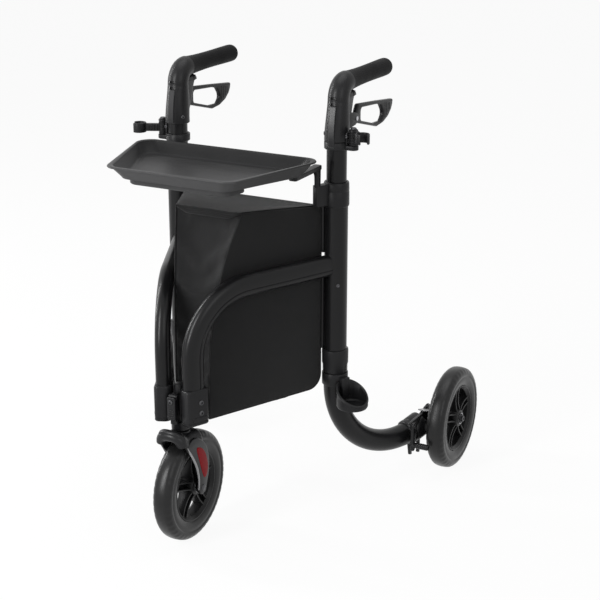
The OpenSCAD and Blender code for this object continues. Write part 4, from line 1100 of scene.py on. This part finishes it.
def bag_rear(z):
    below = max(0, BAG_LOW + BAG_CORNER - z)
    return BAG_REAR - 1 - BAG_CORNER + sqrt(BAG_CORNER ** 2 - below ** 2)


def frame_point(out, along):
    turned_point = Matrix.Rotation(-FRAME_TURN, 2) @ Vector((out, along))
    return foot.x + turned_point.x, foot.y + turned_point.y


def top_fall(y):
    """How far the bag's top lies below its front edge."""
    return BAG_FALL * max(0, y - frame_point(BODY_OUT, BAG_FRONT[-1][0])[1])


def panel_area(outline):
    """Flat area of an outline, in square metres."""
    total = sum(a[0] * b[1] - b[0] * a[1] for a, b in zip(outline, outline[1:] + outline[:1]))
    return abs(total) / 2 * MM * MM


def side_panel(side):
    """Stiffened fabric panel against the inside of a side frame, from the bag's front to the column."""
    rear_top = BAG_TOP - top_fall(frame_point(PANEL_OUT, PANEL_REAR)[1])
    outline = list(BAG_EDGE) + [(PANEL_REAR, rear_top)]
    for step in range(9):
        turn = radians(-90 * step / 8)
        outline.append((PANEL_REAR - BAG_CORNER + BAG_CORNER * cos(turn),
                        BAG_LOW + BAG_CORNER + BAG_CORNER * sin(turn)))
    panel = side_on(plate([outline], PANEL_T, PANEL_ROUND), PANEL_OUT)
    # the side panels take the darkest copy of the bag's fabric: painted shade
    made = side.add("bag_side", panel, side.frame, "frame", "bag_fabric_painted_shade_side")
    panel_area(outline)


def bag_loop(front, rear, z, shrink=0.0):
    """Level loop of the bag's body: left side, rear, right side and front."""
    left_front, left_rear = frame_point(BODY_OUT, front), frame_point(BODY_OUT, rear)
    right_rear, right_front = (-left_rear[0], left_rear[1]), (-left_front[0], left_front[1])
    corners = left_front, left_rear, right_rear, right_front
    middle_y = (left_front[1] + left_rear[1]) / 2
    loop = []
    for start, end, count in zip(corners, corners[1:] + corners[:1], BAG_COUNTS * 2):
        for i in range(count):
            x, y = (a + (b - a) * (i / count) for a, b in zip(start, end))
            loop.append((x * (1 - shrink), middle_y + (y - middle_y) * (1 - shrink), z))
    return loop


def doubled(made, thick):
    """Gives settled cloth its thickness, inwards, as part of its mesh."""
    made.modifiers.new("thickness", "SOLIDIFY").thickness = thick * MM
    mesh = bpy.data.meshes.new_from_object(made.evaluated_get(bpy.context.evaluated_depsgraph_get()))
    made.modifiers.clear()
    made.data = mesh


def draped(made, pinned, limit):
    """Lets the cloth settle under its weight, the pinned points held, and keeps the settled shape."""
    start = [vertex.co.copy() for vertex in made.data.vertices]
    group = made.vertex_groups.new(name="sewn")
    for index, weight in pinned.items():
        group.add([index], weight, "REPLACE")
    cloth = made.modifiers.new("cloth", "CLOTH")
    settings = cloth.settings
    settings.quality, settings.mass = 6, 0.25
    settings.tension_stiffness = settings.compression_stiffness = 12
    settings.shear_stiffness, settings.bending_stiffness = 4, 0.6
    settings.vertex_group_mass, settings.pin_stiffness = group.name, 1.0
    settings.use_pressure, settings.uniform_pressure_force = True, 0.06
    settings.shrink_min = -0.03
    for step in range(1, SETTLE_FRAMES + 1):
        scene.frame_set(step)
    view = bpy.context.evaluated_depsgraph_get()
    settled = [vertex.co.copy() for vertex in made.evaluated_get(view).data.vertices]
    made.modifiers.remove(cloth)
    scene.frame_set(1)
    for vertex, before, after in zip(made.data.vertices, start, settled):
        shift = after - before
        reach = shift.length
        if reach > limit * MM:
            shift *= limit * MM / reach
        vertex.co = before + shift


def bag_body():
    """Soft body between the side panels, hung from its top edge."""
    sides, ends = BAG_COUNTS
    bottom_rows = len(BOTTOM_SHRINKS)
    front, rear = bag_front(BAG_LOW) + BOTTOM_FRONT_IN, bag_rear(BAG_LOW) - BOTTOM_REAR_IN
    levels = [bag_loop(front, rear, BAG_LOW, shrink) for shrink in BOTTOM_SHRINKS]
    for row in range(BODY_ROWS + 1):
        share = row / BODY_ROWS
        level = BAG_LOW + (BAG_TOP - BAG_LOW) * share
        loop = bag_loop(bag_front(level), bag_rear(level), level)
        levels.append([(x, y, z - share ** 2 * top_fall(y)) for x, y, z in loop])
    points, faces = skin(levels)
    made = piece("bag_body", (points, faces[:-1]), seat(ORIGIN), "head", "bag_fabric", ["bag"], sharp=60)
    pinned = {}
    for index in range(len(made.data.vertices)):
        row, along = divmod(index, 2 * (sides + ends))
        on_side = along <= sides or sides + ends <= along <= 2 * sides + ends
        if row >= bottom_rows and (on_side or row == len(levels) - 1):
            pinned[index] = 1.0
        elif row == bottom_rows:
            pinned[index] = BOTTOM_HOLD
    draped(made, pinned, SAG_LIMIT)
    doubled(made, CLOTH_T)
    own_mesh(made)


def bag_lid():
    """Soft cover over the bag, sagging between its edges, with a hem that hangs over the front."""
    rear = BAG_REAR - 1
    sides, ends = BAG_COUNTS
    rings = []
    for shrink, sag in LID_SAGS:
        loop = bag_loop(LID_FRONT, rear, LID_TOP, shrink)
        rings.append([(x, y, z - top_fall(y) - sag) for x, y, z in loop])
    for drop in HEM_DROPS:
        ring = []
        for i, (x, y, z) in enumerate(bag_loop(LID_FRONT, rear, LID_TOP)):
            at_front = i >= 2 * sides + ends
            share = (i - 2 * sides - ends) / ends if at_front else 0
            hang = HEM_SIDE + HEM_FRONT * at_front * min(1, 6 * share, 6 * (1 - share))
            ripple = HEM_RIPPLE * sin(3 * pi * share)
            ring.append((x, y + (ripple - HEM_LEAN) * drop * at_front, z - top_fall(y) - hang * drop))
        rings.append(ring)
    points, faces = skin(rings)
    # the lid takes a darker copy of the bag's fabric: painted shade
    made = piece("bag_cover", (points, faces[:-1]), seat(ORIGIN), "head", "bag_fabric_painted_shade_lid", ["bag_lid"],
                 sharp=60)
    doubled(made, CLOTH_T)
    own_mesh(made)


# Stage: camera, floor and light, in metres and watts

LAMPS = [("key", (-0.9, -2.7, 1.5), (0.5, 2.0), 66), ("fill", (2.4, -1.6, 1.8), (1.4, 1.8), 14),
         ("top", (0.1, 0.2, 3.0), (2.0, 2.0), 26), ("side", (-2.5, -0.3, 1.4), (0.25, 2.2), 46)]
LAMP_AIM = Vector((0, -0.05, 0.42))
CAMERA_PLACE, CAMERA_TURN, CAMERA_TILT = (1.256, -2.252, 1.264), 27.28, 19.12
CAMERA_LENS, CAMERA_SENSOR = 88, 36
FLOOR_HALF, FLOOR_WHITE = 30, 0.93  # half its width, and share of plain white where it is seen
AMBIENT = 0.35  # light of the world on matte surfaces


def studio():
    camera = bpy.data.objects.new("camera", bpy.data.cameras.new("camera"))
    scene.collection.objects.link(camera)
    camera.location = CAMERA_PLACE
    camera.rotation_euler = (radians(90 - CAMERA_TILT), 0, radians(CAMERA_TURN))
    camera.data.lens, camera.data.sensor_width = CAMERA_LENS, CAMERA_SENSOR
    scene.camera = camera
    for name, place, size, power in LAMPS:
        light = bpy.data.objects.new(name, bpy.data.lights.new(name, "AREA"))
        light.data.shape, light.data.energy = "RECTANGLE", power
        light.data.size, light.data.size_y = size
        light.location = place
        light.rotation_euler = (LAMP_AIM - Vector(place)).to_track_quat("-Z", "Y").to_euler()
        scene.collection.objects.link(light)
    look = Shader("floor", Base_Color=(0.86, 0.86, 0.86, 1), Roughness=0.9, Specular_IOR_Level=0.0)
    lit = Wire(look, look.surface.outputs[0])
    white = look.node("ShaderNodeEmission", sockets={"Color": (1, 1, 1, 1), "Strength": 1.0})
    share = look.white_rays() * FLOOR_WHITE
    mixed = look.node("ShaderNodeMixShader", sockets={0: share, 1: lit, 2: white})
    look.feed(look.tree.nodes["Material Output"], {"Surface": mixed})
    floor = bpy.data.meshes.new("floor")
    corners = [(x * FLOOR_HALF, y * FLOOR_HALF, 0) for x, y in ((-1, -1), (1, -1), (1, 1), (-1, 1))]
    floor.from_pydata(corners, [], [(0, 1, 2, 3)])
    floor.materials.append(look.material)
    ground = bpy.data.objects.new("floor", floor)
    scene.collection.objects.link(ground)
    world = bpy.data.worlds.new("studio")
    scene.world = world
    world.use_nodes = True
    sky = Nodes(world.node_tree)
    strength = AMBIENT + (1 - AMBIENT) * sky.white_rays()
    sky.feed(sky.tree.nodes["Background"], {"Color": (1, 1, 1, 1), "Strength": strength})
    scene.view_settings.view_transform = "Standard"


studio()
wheels()
caster()
head()
for each in (LEFT, RIGHT):
    for make in (front_tube, clamp, collars, axle_bracket, brake, tray_bracket, housing, grip, lever,
                 clip_mount, cane_clip, side_panel):
        make(each)
cane_cup()
tray()
bag_body()
bag_lid()
